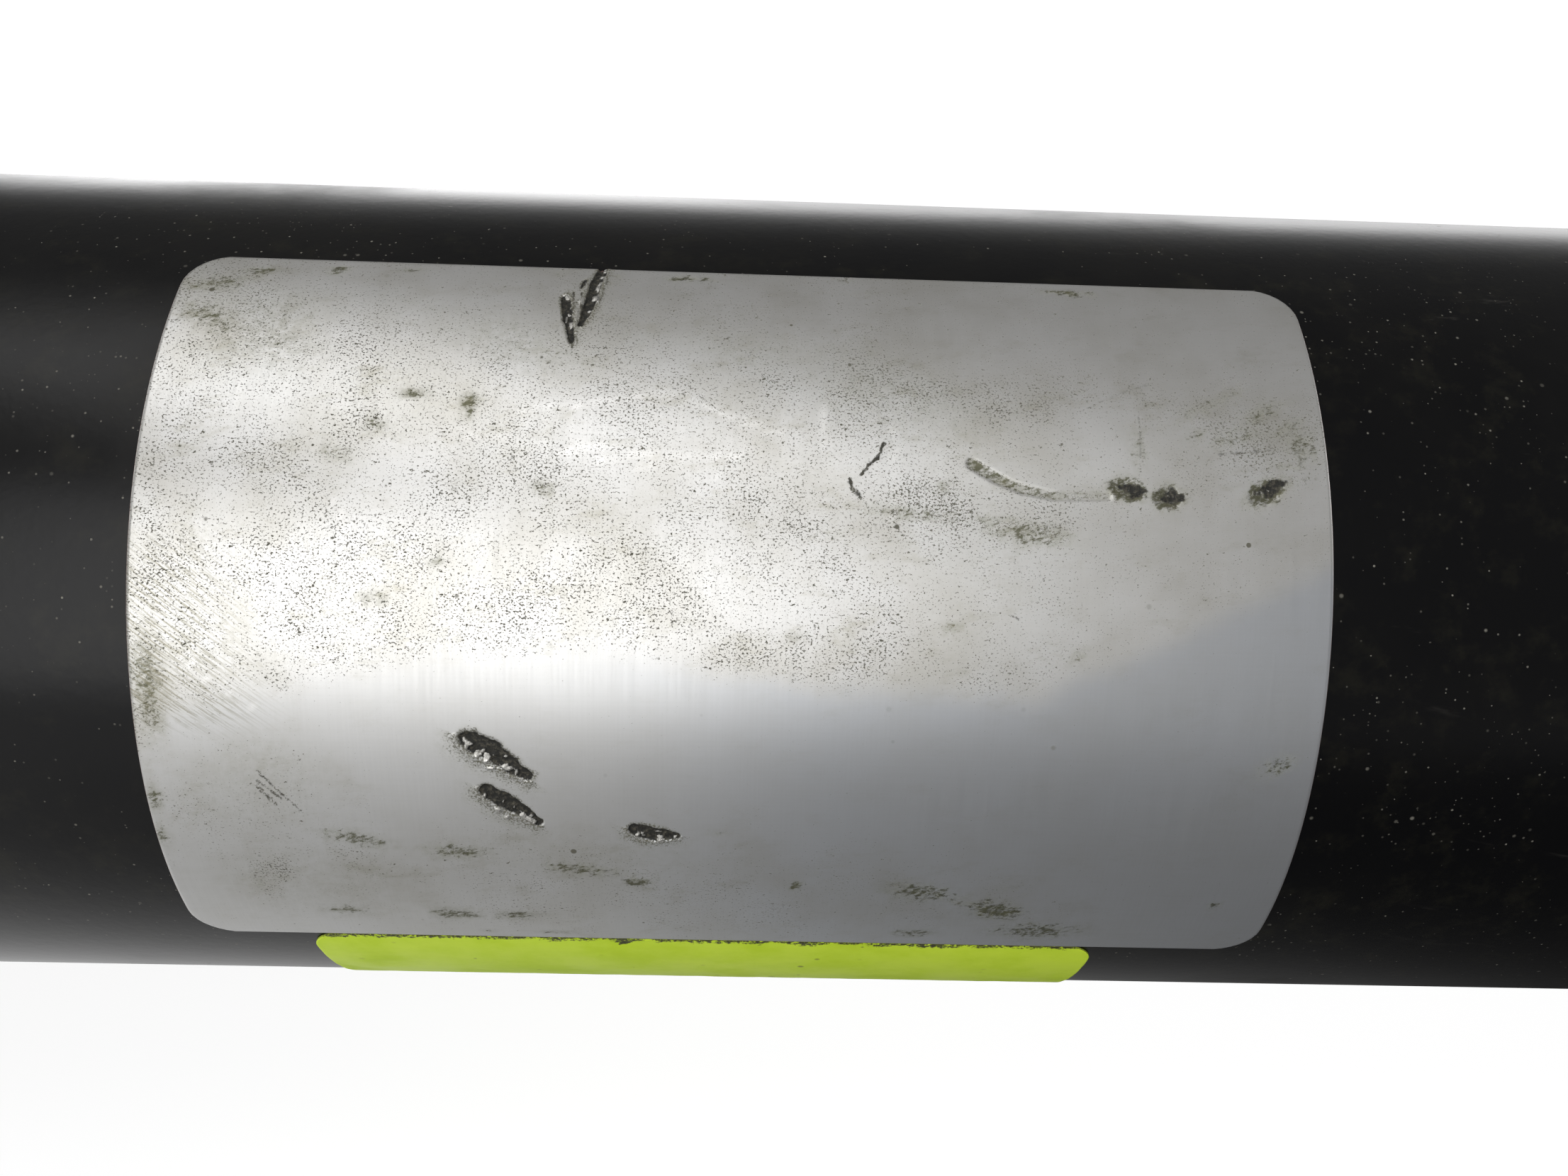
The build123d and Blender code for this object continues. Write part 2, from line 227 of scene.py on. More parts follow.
def settle(work, name, finish, slot, *nodes, sharp=35):
    """Makes a mesh a piece of the fixed body, with its finish, and hides the nodes it stands for. The slot
    is not used.
    """
    mesh = smooth_mesh(work, name, sharp) if isinstance(work, bmesh.types.BMesh) else work
    mesh.name = name
    mesh.materials.clear()
    mesh.materials.append(finish)
    piece = add_object(name, mesh)
    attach(piece, "root")
    if nodes:
        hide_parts(*nodes)


black_paint = make_paint("black_paint", 0.00002, 0.2)
along = np.linspace(-shell_half_length + shell_lip, shell_half_length - shell_lip, shell_rings)
shell_outline = [(-shell_half_length, shell_radius - shell_lip)] + [(x, shell_radius) for x in along]
shell_outline += [(shell_half_length, shell_radius - shell_lip), (shell_half_length, shell_bore_radius),
                  (-shell_half_length, shell_bore_radius)]
settle(turned(shell_outline, shell_sides), "shell_tube_drawn", black_paint, "black_paint", "shell_tube")


# Hubs: turned from steel bar, with a drilled flange and a barrel that the shell is brazed into. They
# are painted with the shell. Their edges are broken by a tool, and the braze shows as a ripple.
ends = {"front": 1, "rear": -1}
hub_edge = 0.0005
hub_nose_x = 0.3832
braze_offset = 0.0005
braze_radius = 0.0017
braze_ripple = 0.12
braze_pitch = 0.0022
same_point = 2e-6
flat_angle = radians(0.5)
crisp_angle = radians(28)


def cad_copy(node):
    """Copy of a CAD node, with its loose triangles joined."""
    work = bmesh.new()
    work.from_mesh(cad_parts[node].data)
    bmesh.ops.remove_doubles(work, verts=work.verts, dist=same_point)
    return work


def dressed(node, width):
    """Copy of a CAD node with its sharp edges broken by a width."""
    work = cad_copy(node)
    bmesh.ops.dissolve_limit(work, angle_limit=flat_angle, verts=work.verts, edges=work.edges)
    crisp = [e for e in work.edges if len(e.link_faces) == 2 and e.calc_face_angle() > crisp_angle]
    bmesh.ops.bevel(work, geom=crisp, offset=width, segments=2, profile=0.5, affect="EDGES",
                    clamp_overlap=True)
    return work


for end in ends:
    settle(dressed(f"{end}_hub", hub_edge), f"{end}_hub_turned", black_paint, "black_paint", f"{end}_hub")


def start_tree(name, **kinds):
    """New Geometry Nodes tree with a geometry input and named sizes. Returns the tree and its inputs."""
    tree = bpy.data.node_groups.new(name, "GeometryNodeTree")
    for way in ("INPUT", "OUTPUT"):
        tree.interface.new_socket("Geometry", in_out=way, socket_type="NodeSocketGeometry")
    for label, kind in kinds.items():
        tree.interface.new_socket(label, in_out="INPUT", socket_type=f"NodeSocket{kind}")
    inputs = tree.nodes.new("NodeGroupInput")
    return tree, {label: Field(inputs, label) for label in ("Geometry", *kinds)}


def end_tree(made, finish):
    """Ends a tree in real geometry with its finish."""
    real = put(made.id_data, "GeometryNodeRealizeInstances", {"Geometry": made})
    coated = put(made.id_data, "GeometryNodeSetMaterial", {"Geometry": real, "Material": finish})
    put(made.id_data, "NodeGroupOutput", {"Geometry": coated})


def finished(holder):
    """Plain mesh of an object with its modifiers run. The object itself goes."""
    bpy.context.view_layer.update()
    mesh = bpy.data.meshes.new_from_object(holder.evaluated_get(bpy.context.evaluated_depsgraph_get()))
    bpy.data.objects.remove(holder)
    return mesh


def grown(tree, seed_mesh, **values):
    """Plain mesh that a tree makes from a starting mesh and named values."""
    holder = add_object("holder", seed_mesh)
    modifier = holder.modifiers.new("grow", "NODES")
    modifier.node_group = tree
    for item in tree.interface.items_tree:
        if item.name in values:
            modifier[item.identifier] = values[item.name]
    return finished(holder)


def drawn(name, points, edges=(), faces=()):
    """Mesh of points, with edges or faces between them."""
    mesh = bpy.data.meshes.new(name)
    mesh.from_pydata(points, edges, faces)
    return mesh


def closed_path(points):
    """Edges through points and back to the first, as the path that a tree follows."""
    return drawn("path", points, [(k, (k + 1) % len(points)) for k in range(len(points))])


bead_tree, given = start_tree("weld_bead", Radius="Float", Ripple="Float", Pitch="Float", Seed="Int",
                              Finish="Material")
line = put(bead_tree, "GeometryNodeMeshToCurve", {"Mesh": given["Geometry"]})
fine_feeds = {"Curve": line, "Length": given["Pitch"] / 5.0}
fine_line = put(bead_tree, "GeometryNodeResampleCurve", fine_feeds, mode="LENGTH")
wobble_feeds = {"W": given["Seed"], "Scale": 90.0, "Detail": 2.0}
wobble = Field(put(bead_tree, "ShaderNodeTexNoise", wobble_feeds, noise_dimensions="4D"), "Fac")
turns_along = Field(put(bead_tree, "GeometryNodeSplineParameter"), "Length") / given["Pitch"]
dome = ((turns_along + wobble).sums("FRACT") * pi).sums("SINE")
ripple = dome * given["Ripple"] + (wobble * 0.5 + 0.75)
ridged = put(bead_tree, "GeometryNodeSetCurveRadius", {"Curve": fine_line, "Radius": ripple})
section = put(bead_tree, "GeometryNodeCurvePrimitiveCircle", {"Resolution": 10, "Radius": given["Radius"]})
bead_feeds = {"Curve": ridged, "Profile Curve": section, "Scale": ripple}
bead = put(bead_tree, "GeometryNodeCurveToMesh", bead_feeds)
end_tree(put(bead_tree, "GeometryNodeSetShadeSmooth", {"Geometry": bead}), given["Finish"])

for end, side in ends.items():
    path = ring_of(side * (hub_nose_x - braze_offset), shell_radius + braze_offset, even_angles(180))
    braze = grown(bead_tree, closed_path(path), Radius=braze_radius, Ripple=braze_ripple, Pitch=braze_pitch,
                  Seed=3 + side, Finish=black_paint)
    settle(braze, f"{end}_hub_braze", black_paint, "black_paint")


# Oil ports: weld bosses saddled on the hubs' barrels, each bored and tapped with a straight thread
# under a cone for an O-ring. They are steel, welded all round and painted outside.
oil_port_x = 0.4142
hub_barrel_radius = 0.04945
boss_radius = 0.024
boss_top = 0.06995
boss_edge = 0.0015
boss_sides = 96
seat_radius = 0.01795
seat_depth = 0.0024
seat_break = 0.0003
thread_radius = 0.01565
thread_end_depth = 0.019
passage_radius = 0.013
passage_break = 0.0005
spigot_radius = 0.0165
oil_thread_pitch = 0.002117
oil_thread_height = 0.001
thread_steps = 8
weld_radius = 0.0022
weld_out = 0.0006
weld_ripple = 0.16
weld_pitch = 0.003


def saddle(radius, angle, barrel):
    """Height over the shell's axis where a round boss meets a barrel, at an angle round the boss."""
    return sqrt(barrel * barrel - (radius * sin(angle)) ** 2)


def thread_wave(depth, angle, pitch):
    """Ridge of a V thread from 0 to 1, at a depth down the bore and an angle round it."""
    turns_down = (depth / pitch - angle / (2 * pi)) % 1
    return 1 - abs(2 * turns_down - 1)


angles = even_angles(boss_sides)
rows = [[(r, saddle(r, a, barrel)) for a in angles]
        for r, barrel in ((passage_radius, shell_bore_radius), (spigot_radius, shell_bore_radius),
                          (spigot_radius, hub_barrel_radius), (boss_radius, hub_barrel_radius))]
for share in (0, 0.3, 1):
    rows.append([(boss_radius - boss_edge * share, boss_top - boss_edge * (1 - share))] * boss_sides)
rows.append([(seat_radius + seat_break, boss_top)] * boss_sides)
rows.append([(seat_radius, boss_top - seat_break)] * boss_sides)
thread_length = thread_end_depth - seat_depth
count = int(thread_length / oil_thread_pitch * thread_steps)
for n in range(count + 1):
    depth = thread_length * n / count
    fade = min(1, n / 4, (count - n) / thread_steps)
    waves = [oil_thread_height * fade * thread_wave(depth, a, oil_thread_pitch) for a in angles]
    rows.append([(thread_radius + wave, boss_top - seat_depth - depth) for wave in waves])
rows.append([(passage_radius + passage_break, boss_top - thread_end_depth)] * boss_sides)
rows.append([(passage_radius, boss_top - thread_end_depth - passage_break)] * boss_sides)
reach, lift = boss_radius + weld_out, hub_barrel_radius + weld_out
for end, side in ends.items():
    x = side * oil_port_x
    port = [[(x + r * cos(a), r * sin(a), axis_height + z) for a, (r, z) in zip(angles, row)]
            for row in rows]
    settle(skin(port, loop=True), f"{end}_oil_port_tapped", black_paint, "black_paint", f"{end}_oil_port")
    rim = [(x + reach * cos(a), reach * sin(a), axis_height + saddle(reach, a, lift)) for a in angles]
    weld = grown(bead_tree, closed_path(rim), Radius=weld_radius, Ripple=weld_ripple, Pitch=weld_pitch,
                 Seed=11 + side, Finish=black_paint)
    settle(weld, f"{end}_oil_port_weld", black_paint, "black_paint")


# Tube bundle: 24 copper tubes on a triangular pitch in two passes, rolled into brass tubesheets that
# sit in the hubs' faces, with five sheared steel baffles. All of it is bare metal, dulled by use.
face_x = 0.4572
tubesheet_edge = 0.0002
tube_radius = 0.0047625
tube_wall = 0.0009
tube_proud = 0.001
tube_flare = 0.00025
tube_tip = 0.002
tube_sides = 20
tube_pitch = 0.014
pass_lane = 0.017
bundle_radius = 0.0360875
bundle_columns = 9
bundle_rows = 5


def make_metal(name, colour, dull, turned_marks=0.0):
    """Bare metal with tarnish, and with fine rings about the shell's axis where it was faced in a lathe."""
    material, shader, place = start_finish(name, Metallic=1.0)
    tarnish = rise(grain(place, 70, 5, 0.65), 0.35, 0.75)
    tint = blend_colours(tarnish, colour, [part * 0.45 for part in colour])
    fill(shader, {"Base Color": tint, "Roughness": rise(tarnish, 0, 1, dull, dull + 0.2)})
    marks = grain(place, 2600, 2)
    if turned_marks:
        centred = put(place.tree, "ShaderNodeMapping", {"Vector": place, "Location": (0, 0, -axis_height)})
        flat = put(place.tree, "ShaderNodeVectorMath", {0: centred, 1: (0, 1, 1)}, operation="MULTIPLY")
        radius = put(place.tree, "ShaderNodeVectorMath", {0: flat}, operation="LENGTH")
        marks = (Field(radius, "Value") * turned_marks).sums("SINE") * 0.6 + marks
    emboss(shader, marks, 0.00002, 0.5)
    return material


copper = make_metal("copper", (0.62, 0.3, 0.17), 0.3)
brass = make_metal("tubesheet_brass", (0.6, 0.44, 0.2), 0.32, 9000.0)
steel = make_metal("baffle_steel", (0.4, 0.4, 0.4), 0.38)
for end in ends:
    sheet = dressed(f"{end}_tubesheet", tubesheet_edge)
    settle(sheet, f"{end}_tubesheet_faced", brass, "tubesheet_brass", f"{end}_tubesheet")
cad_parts["baffles"].data.materials.clear()
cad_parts["baffles"].data.materials.append(steel)

tube_end = face_x + tube_proud
tip = tube_end - tube_tip
tube_bore = tube_radius - tube_wall
sleeve = [(-tube_end, tube_radius), (-tip, tube_radius), (tip, tube_radius), (tube_end, tube_radius),
          (tube_end, tube_bore + tube_flare), (tip, tube_bore), (-tip, tube_bore),
          (-tube_end, tube_bore + tube_flare)]
tube_master = bpy.data.objects.new("tube_master", smooth_mesh(turned(sleeve, tube_sides, 0), "tube", 35))

bundle_tree, given = start_tree("tube_bundle", Pitch="Float", Lane="Float", Reach="Float", Way="Float",
                                Tube="Object", Finish="Material")
points = put(bundle_tree, "GeometryNodePoints", {"Count": bundle_columns * bundle_rows})
index = Field(put(bundle_tree, "GeometryNodeInputIndex"))
row = (index / bundle_columns).sums("FLOOR")
along_row = index - row * bundle_columns - (bundle_columns - 1) / 2 + row.sums("MODULO", 2) * 0.5
across = along_row * given["Pitch"]
up = given["Lane"] * 0.5 + row * (sqrt(3) / 2) * given["Pitch"]
outside = (across ** 2 + up ** 2).sums("SQRT") > given["Reach"]
spot = put(bundle_tree, "ShaderNodeCombineXYZ", {"Y": across, "Z": up * given["Way"] + axis_height})
placed = put(bundle_tree, "GeometryNodeSetPosition", {"Geometry": points, "Position": spot})
kept = put(bundle_tree, "GeometryNodeDeleteGeometry", {"Geometry": placed, "Selection": outside})
tube = put(bundle_tree, "GeometryNodeObjectInfo", {"Object": given["Tube"]})
tube_feeds = {"Points": kept, "Instance": Field(tube, "Geometry")}
end_tree(put(bundle_tree, "GeometryNodeInstanceOnPoints", tube_feeds), given["Finish"])
for way, name in ((1.0, "upper_pass_tubes"), (-1.0, "lower_pass_tubes")):
    bundle = grown(bundle_tree, drawn("start", []), Pitch=tube_pitch, Lane=pass_lane,
                   Reach=bundle_radius, Way=way, Tube=tube_master, Finish=copper)
    settle(bundle, f"{name}_rolled", copper, "copper", name)


# Gaskets: fibre sheet, cut to the bonnet's outline and pinched between bonnet and hub. Their edges
# are a dull dark green-grey, oil-stained.
gasket_edge = 0.0002


def make_gasket_fibre():
    """Matte fibre sheet with flecks and oil stains."""
    material, shader, place = start_finish("gasket_fibre", Specular_IOR_Level=0.25)
    fleck = rise(grain(place, 900, 4, 0.7), 0.45, 0.7)
    stain = rise(grain(place, 45, 4), 0.4, 0.65)
    colour = layered((0.075, 0.085, 0.075), (fleck, (0.17, 0.18, 0.16)),
                     (stain * 0.7, (0.025, 0.024, 0.02)))
    fill(shader, {"Base Color": colour, "Roughness": rise(stain, 0, 1, 0.85, 0.55)})
    emboss(shader, fleck, 0.00005, 0.6)
    return material


gasket_fibre = make_gasket_fibre()
for end in ends:
    gasket = dressed(f"{end}_gasket", gasket_edge)
    settle(gasket, f"{end}_gasket_cut", gasket_fibre, "gasket_fibre", f"{end}_gasket")


# Bonnets: sand-cast iron, machined only on their faces and in their threads, and painted black. The
# castings have soft corners, a grainy skin and slightly uneven sides.
casting_voxel = 0.0011
casting_unevenness = 0.00009
lump_scale = 300
grit_scale = 800


def cast(node):
    """Copy of a CAD node with a casting's soft edges and uneven skin."""
    work = cad_copy(node)
    rough = bpy.data.meshes.new("pattern")
    work.to_mesh(rough)
    work.free()
    holder = add_object("pattern", rough)
    remesh = holder.modifiers.new("remesh", "REMESH")
    remesh.mode = "VOXEL"
    remesh.voxel_size = casting_voxel
    soften = holder.modifiers.new("soften", "SMOOTH")
    soften.factor = 0.5
    soften.iterations = 3
    mesh = finished(holder)
    places, ways = (np.array([getattr(v, part) for v in mesh.vertices], float) for part in ("co", "normal"))
    bumps = [noise.noise(Vector(p) * lump_scale) + 0.5 * noise.noise(Vector(p) * grit_scale) for p in places]
    moved = places + ways * (np.array(bumps) * casting_unevenness)[:, None]
    mesh.vertices.foreach_set("co", np.clip(moved, *map(tuple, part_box(node))).ravel())
    mesh.update()
    mesh.shade_smooth()
    return mesh


cast_paint = make_paint("black_cast_iron", 0.00016, 0.42)
for end in ends:
    settle(cast(f"{end}_bonnet"), f"{end}_bonnet_cast", cast_paint, "black_cast_iron", f"{end}_bonnet")


# Water ports: taper pipe threads cut in the front bonnet's boss. The cut metal is bare iron, dark
# with old water, from the chamfer down to the end wall.
water_port_x = 0.5158
water_port_offset = 0.022
water_chamfer = 0.0015
water_bore_radius = 0.0121
water_thread_pitch = 0.001814
water_thread_height = 0.0009
water_wall_length = 0.022
water_skin = 0.0004
water_break = 0.0003
bare_iron = make_metal("bare_iron", (0.2, 0.17, 0.15), 0.45)
turns = even_angles(72)
mouth_x = water_port_x - water_chamfer
length = water_wall_length - water_chamfer
count = int(length / water_thread_pitch * thread_steps)
for way, name in ((1, "upper"), (-1, "lower")):
    middle = axis_height + way * water_port_offset
    rings = []
    for n in range(count + 1):
        depth = length * n / count
        height = water_thread_height * min(1, (count - n) / 16, 0.2 + n / 6)
        radii = [water_bore_radius - height * thread_wave(depth, a, water_thread_pitch) for a in turns]
        rings.append(ring_of(mouth_x - depth, radii, turns, middle))
    for x in (mouth_x - length, mouth_x - water_break):
        rings.append(ring_of(x, water_bore_radius + water_skin, turns, middle))
    settle(skin(rings, loop=True), f"{name}_water_port_thread", bare_iron, "black_cast_iron")


# Vent and drain plugs: square-headed pipe plugs in zinc-plated steel, screwed into the bonnets' bosses.
# The plating is dulled in random patches, darker and a little yellow.
plug_edge = 0.0004
plated_steel = make_metal("plated_steel", (0.62, 0.6, 0.54), 0.26)
for node in ("front_vent_plug", "front_drain_plug", "rear_vent_plug", "rear_drain_plug"):
    settle(dressed(node, plug_edge), f"{node}_screwed", plated_steel, "plated_steel", node)


# Feet: 4.8 mm steel plate, profiled, bent and slotted, held under the two lower bonnet bolts. They
# are painted with the shell.
foot_edge = 0.0006
for end in ends:
    settle(dressed(f"{end}_foot", foot_edge), f"{end}_foot_bent", black_paint, "black_paint", f"{end}_foot")


# Bonnet bolts: zinc-plated M8 hexagon bolts on plain washers, four to an end. The lower two of each
# end also hold the foot.
bolt_offset = 0.0413657
bolt_flats = 0.0065
bolt_head_height = 0.0053
bolt_dish_inside = 0.0022
bolt_dish_radius = 0.0032
bolt_dish_depth = 0.0003
bolt_shank_radius = 0.0039
bolt_shank_length = 0.0345
bolt_thread_from = 0.018
bolt_thread_pitch = 0.00125
bolt_thread_height = 0.0007
bolt_thread_rings = 100
bolt_chamfer_slope = 0.55
washer_radius = 0.008
washer_thickness = 0.0016
washer_edge = 0.0003
flange_face_x = 0.4708
foot_plate = 0.0048


def head_radius(angle, over_top):
    """Radius of a hexagon head at an angle, with its chamfer cut as a cone from the top."""
    to_flat = (angle % (pi / 3)) - pi / 6
    return min(bolt_flats / cos(to_flat), bolt_flats * 0.96 + over_top / bolt_chamfer_slope)


turns = even_angles(48)
top = washer_thickness + bolt_head_height
profile = [(top - bolt_dish_depth, bolt_dish_inside), (top, bolt_dish_radius)]
for below in (0.0, 0.0002, 0.0005, 0.0009, 0.0014, bolt_head_height):
    profile.append((top - below, [head_radius(a, below) for a in turns]))
profile += [(washer_thickness, washer_radius - washer_edge), (washer_thickness - washer_edge, washer_radius),
            (washer_edge, washer_radius), (0.0, washer_radius - washer_edge), (0.0, bolt_shank_radius)]
for n in range(bolt_thread_rings + 1):
    depth = bolt_thread_from + (bolt_shank_length - bolt_thread_from) * n / bolt_thread_rings
    core = bolt_shank_radius - max(0.0, (n - bolt_thread_rings + 6) * 0.00012)
    radii = [core - bolt_thread_height * thread_wave(depth, a, bolt_thread_pitch) for a in turns]
    profile.append((-depth, radii))
rings = [ring_of(x, radii, turns, 0) for x, radii in profile]
bolt_master = bpy.data.objects.new("bolt_master", smooth_mesh(skin(rings), "bolt", 28))

bolt_tree, given = start_tree("bolt_set", Bolt="Object", Side="Float", Seed="Int", Finish="Material")
bolt = put(bolt_tree, "GeometryNodeObjectInfo", {"Object": given["Bolt"]})
spin_feeds = {"Min": 0.0, "Max": 2 * pi, "Seed": given["Seed"]}
spin = Field(put(bolt_tree, "FunctionNodeRandomValue", spin_feeds, data_type="FLOAT"), "Value")
facing = put(bolt_tree, "ShaderNodeCombineXYZ", {"X": spin, "Z": (1.0 - given["Side"]) * (pi / 2)})
bolt_points = put(bolt_tree, "GeometryNodeMeshToPoints", {"Mesh": given["Geometry"]})
bolt_feeds = {"Points": bolt_points, "Instance": Field(bolt, "Geometry"), "Rotation": facing}
end_tree(put(bolt_tree, "GeometryNodeInstanceOnPoints", bolt_feeds), given["Finish"])
for end, side in ends.items():
    spots = []
    for way in (1, -1):
        x = side * (flange_face_x + (foot_plate if way < 0 else 0))
        spots += [(x, y, axis_height + way * bolt_offset) for y in (bolt_offset, -bolt_offset)]
    bolts = grown(bolt_tree, drawn("bolt_places", spots), Bolt=bolt_master, Side=float(side), Seed=5 + side,
                  Finish=plated_steel)
    settle(bolts, f"{end}_bonnet_bolts", plated_steel, "plated_steel")


# Data plate: thin aluminium, satin faced, stuck round the shell with its middle 30 degrees up. Its face
# is left bare. Tools have gouged and dented it, and oily dirt has settled in the dents and scratches.
# Low on the face a darker, bluer tint is a painted reflection that turns to painted shade towards the right,
# and the rubbed marks are painted lighter as painted highlights.
plate_length = 101.0
plate_height = 69.85
plate_thickness = 0.3
plate_corner = 4.0
plate_angle = radians(30)
adhesive_film = 0.05
sheet_spacing = 0.6
close_cuts = 4
mm = 0.001


def sheet_rows(length, height, corner):
    """Points of a flat sheet with rounded corners, row by row, in millimetres about its middle."""
    def spread(total):
        steps = round((total - 2 * corner) / sheet_spacing)
        body = np.linspace(corner - total / 2, total / 2 - corner, steps + 1)
        bend = corner * np.sin(np.linspace(0, pi / 2, 9)[1:])
        return np.concatenate([body[0] - bend[::-1], body, body[-1] + bend])
    rows = []
    for v in spread(height):
        over = max(0.0, abs(v) - (height / 2 - corner))
        half = length / 2 - corner + sqrt(max(0.0, corner ** 2 - over ** 2))
        rows.append([(u * 2 * half / length, v) for u in spread(length)])
    return rows


def flat_sheet(rows, thickness):
    """Closed flat sheet over rows of points, with its top edge rolled down a little."""
    work = bmesh.new()
    top = [[work.verts.new((u, v, 0)) for u, v in row] for row in rows]
    for low, high in zip(top, top[1:]):
        for k in range(1, len(low)):
            work.faces.new((low[k - 1], low[k], high[k], high[k - 1]))
    edge = top[0] + [row[-1] for row in top[1:-1]] + top[-1][::-1] + [row[0] for row in top[-2:0:-1]]
    under = {}
    for vertex in edge:
        under[vertex] = work.verts.new((vertex.co.x, vertex.co.y, -thickness))
        vertex.co.z = -0.2 * thickness
    for k in range(len(edge)):
        work.faces.new((edge[k], edge[k - 1], under[edge[k - 1]], under[edge[k]]))
    for low, high in zip(top, top[1:]):
        lows, highs = ([under[v] for v in row if v in under] for row in (low, high))
        work.faces.new(highs + lows[::-1])
    return work


def beside(us, vs, path):
    """Share of the way along a path, and the distance to its left, for arrays of places."""
    best = np.full(us.shape, np.inf)
    share, aside = np.zeros(us.shape), np.zeros(us.shape)
    for k, (start, end) in enumerate(zip(path, path[1:])):
        run_u, run_v = end[0] - start[0], end[1] - start[1]
        part = ((us - start[0]) * run_u + (vs - start[1]) * run_v) / (run_u ** 2 + run_v ** 2)
        part = np.clip(part, 0, 1)
        off_u, off_v = us - start[0] - part * run_u, vs - start[1] - part * run_v
        off = np.hypot(off_u, off_v)
        near = off < best
        best = np.where(near, off, best)
        share = np.where(near, (k + part) / (len(path) - 1), share)
        aside = np.where(near, np.where(run_u * off_v - run_v * off_u > 0, off, -off), aside)
    return share, aside


def over_oval(us, vs, u, v, half_u, half_v, tilt=0):
    """Places as shares of an oval's half length and half height, from its middle."""
    turn = radians(tilt)
    along = ((us - u) * cos(turn) + (vs - v) * sin(turn)) / half_u
    across = ((vs - v) * cos(turn) - (us - u) * sin(turn)) / half_v
    return along, across


def ease(values, low, high):
    """Smooth step of an array between two levels."""
    part = np.clip((values - low) / (high - low), 0, 1)
    return part * part * (3 - 2 * part)


def ripple_of(us, vs, size, seed):
    """Smooth noise at places, with features of a size in millimetres."""
    return np.array([noise.noise(Vector((u / size, v / size, seed))) for u, v in zip(us, vs)])


# Torn gouges: path, half width, depth, and the side that the metal was pushed to (1 is left of the path)
gouges = (
    (((-22.7, -10), (-20.8, -10.9), (-17.7, -13.4)), 1.03, 0.27, -1),
    (((-21.4, -14.9), (-19.6, -15.9), (-17, -18.1)), 0.84, 0.25, -1),
    (((-8.6, -18.7), (-7, -19.2), (-4.9, -19.3)), 0.78, 0.18, -1),
    (((-13.3, 34.8), (-13.8, 32.2), (-14.1, 29.6), (-14.6, 27.6)), 0.6, 0.27, 1),
    (((-16.3, 30.7), (-15.9, 28.6), (-15.2, 25.6)), 0.5, 0.2, 1),
    (((-14.7, 33.1), (-15, 32.1)), 0.24, 0.14, 1),
)
# Bright chips of torn metal: middle, half length, half height, brightness
chips = (
    (-21.9, -11.3, 0.32, 0.4, 1), (-21.1, -11.7, 0.4, 0.5, 0.8), (-20.8, -12.6, 0.55, 0.2, 1),
    (-18.6, -12.9, 0.16, 0.4, 0.8), (-19.5, -11.6, 0.3, 0.18, 0.5), (-19.7, -12.6, 0.15, 0.25, 0.6),
    (-20.4, -16.8, 0.42, 0.34, 1), (-19.7, -17.6, 0.3, 0.3, 1), (-17.6, -17.5, 0.25, 0.2, 0.7),
    (-6.3, -19.8, 0.4, 0.28, 1), (-7.8, -19.4, 0.3, 0.2, 0.8), (-6.5, -18.9, 0.5, 0.16, 0.7),
    (-13.3, 30.5, 0.2, 0.5, 1), (-13.5, 32.2, 0.22, 1.1, 0.45), (-12.9, 33.6, 0.12, 1.4, 0.5),
    (-15.9, 28.1, 0.12, 0.5, 1), (-14.7, 30.4, 0.3, 0.7, 0.7), (-15, 28.6, 0.2, 1, 0.5),
)
# Dents: middle, half length, half height, tilt in degrees, depth
dents = (
    (32.9, 12.8, 1.6, 0.95, -8, 0.18), (36.4, 12.2, 1.25, 1.05, 0, 0.2), (44.9, 12.9, 1.75, 1, 26, 0.22),
)
# Drag mark: path
drag_mark = ((19.7, 14.7), (21.5, 13.6), (23.8, 12.6), (26.7, 12.1), (31.2, 12.2))
# Dark scratches: path, half width, depth of colour
dark_scratches = (
    (((12.1, 16.3), (11.6, 15), (10.9, 14.4), (10.2, 13.5)), 0.17, 0.95),
    (((9.2, 13), (9.5, 12.2), (10.2, 11.4)), 0.2, 0.9), (((14.9, 13.9), (16.3, 13.2)), 0.09, 0.7),
    (((15, 13.1), (15.1, 12)), 0.07, 0.7), (((15.6, 13.1), (15.6, 10.1)), 0.05, 0.5),
    (((17.2, 8.8), (18.6, 8.4)), 0.08, 0.6), (((22.9, 1.9), (23.7, 1.6)), 0.1, 0.8),
    (((-3.9, 20.4), (-2, 18.9)), 0.08, 0.8), (((-40.7, -13.4), (-37.5, -17.3)), 0.14, 0.75),
    (((-40.8, -14.3), (-39, -16.1)), 0.14, 0.75), (((-40.9, -14.9), (-39.5, -16.7)), 0.24, 0.7),
    (((-15.3, 26.4), (-15.1, 24.8)), 0.14, 0.9), (((-14.9, 31.4), (-14.6, 27.6)), 0.1, 0.9),
    (((-15.6, 31.4), (-15.3, 28)), 0.1, 0.85), (((-14.3, 32.6), (-14.5, 29.4)), 0.07, 0.8),
    (((-12.6, 34.6), (-13.1, 30.4)), 0.13, 0.75), (((-16.2, 28.6), (-16.7, 26.4)), 0.1, 0.6),
    (((34.4, 20), (34.1, 14.6)), 0.14, 0.5), (((41.2, 16.2), (45.4, 16.7)), 0.2, 0.6),
    (((47.6, 18.8), (48.4, 13.8)), 0.15, 0.45), (((28.4, 19.4), (32.2, 21.5), (35.6, 22.9)), 0.14, 0.45),
    (((9, 34.9), (9.2, 34.1)), 0.2, 0.7),
)
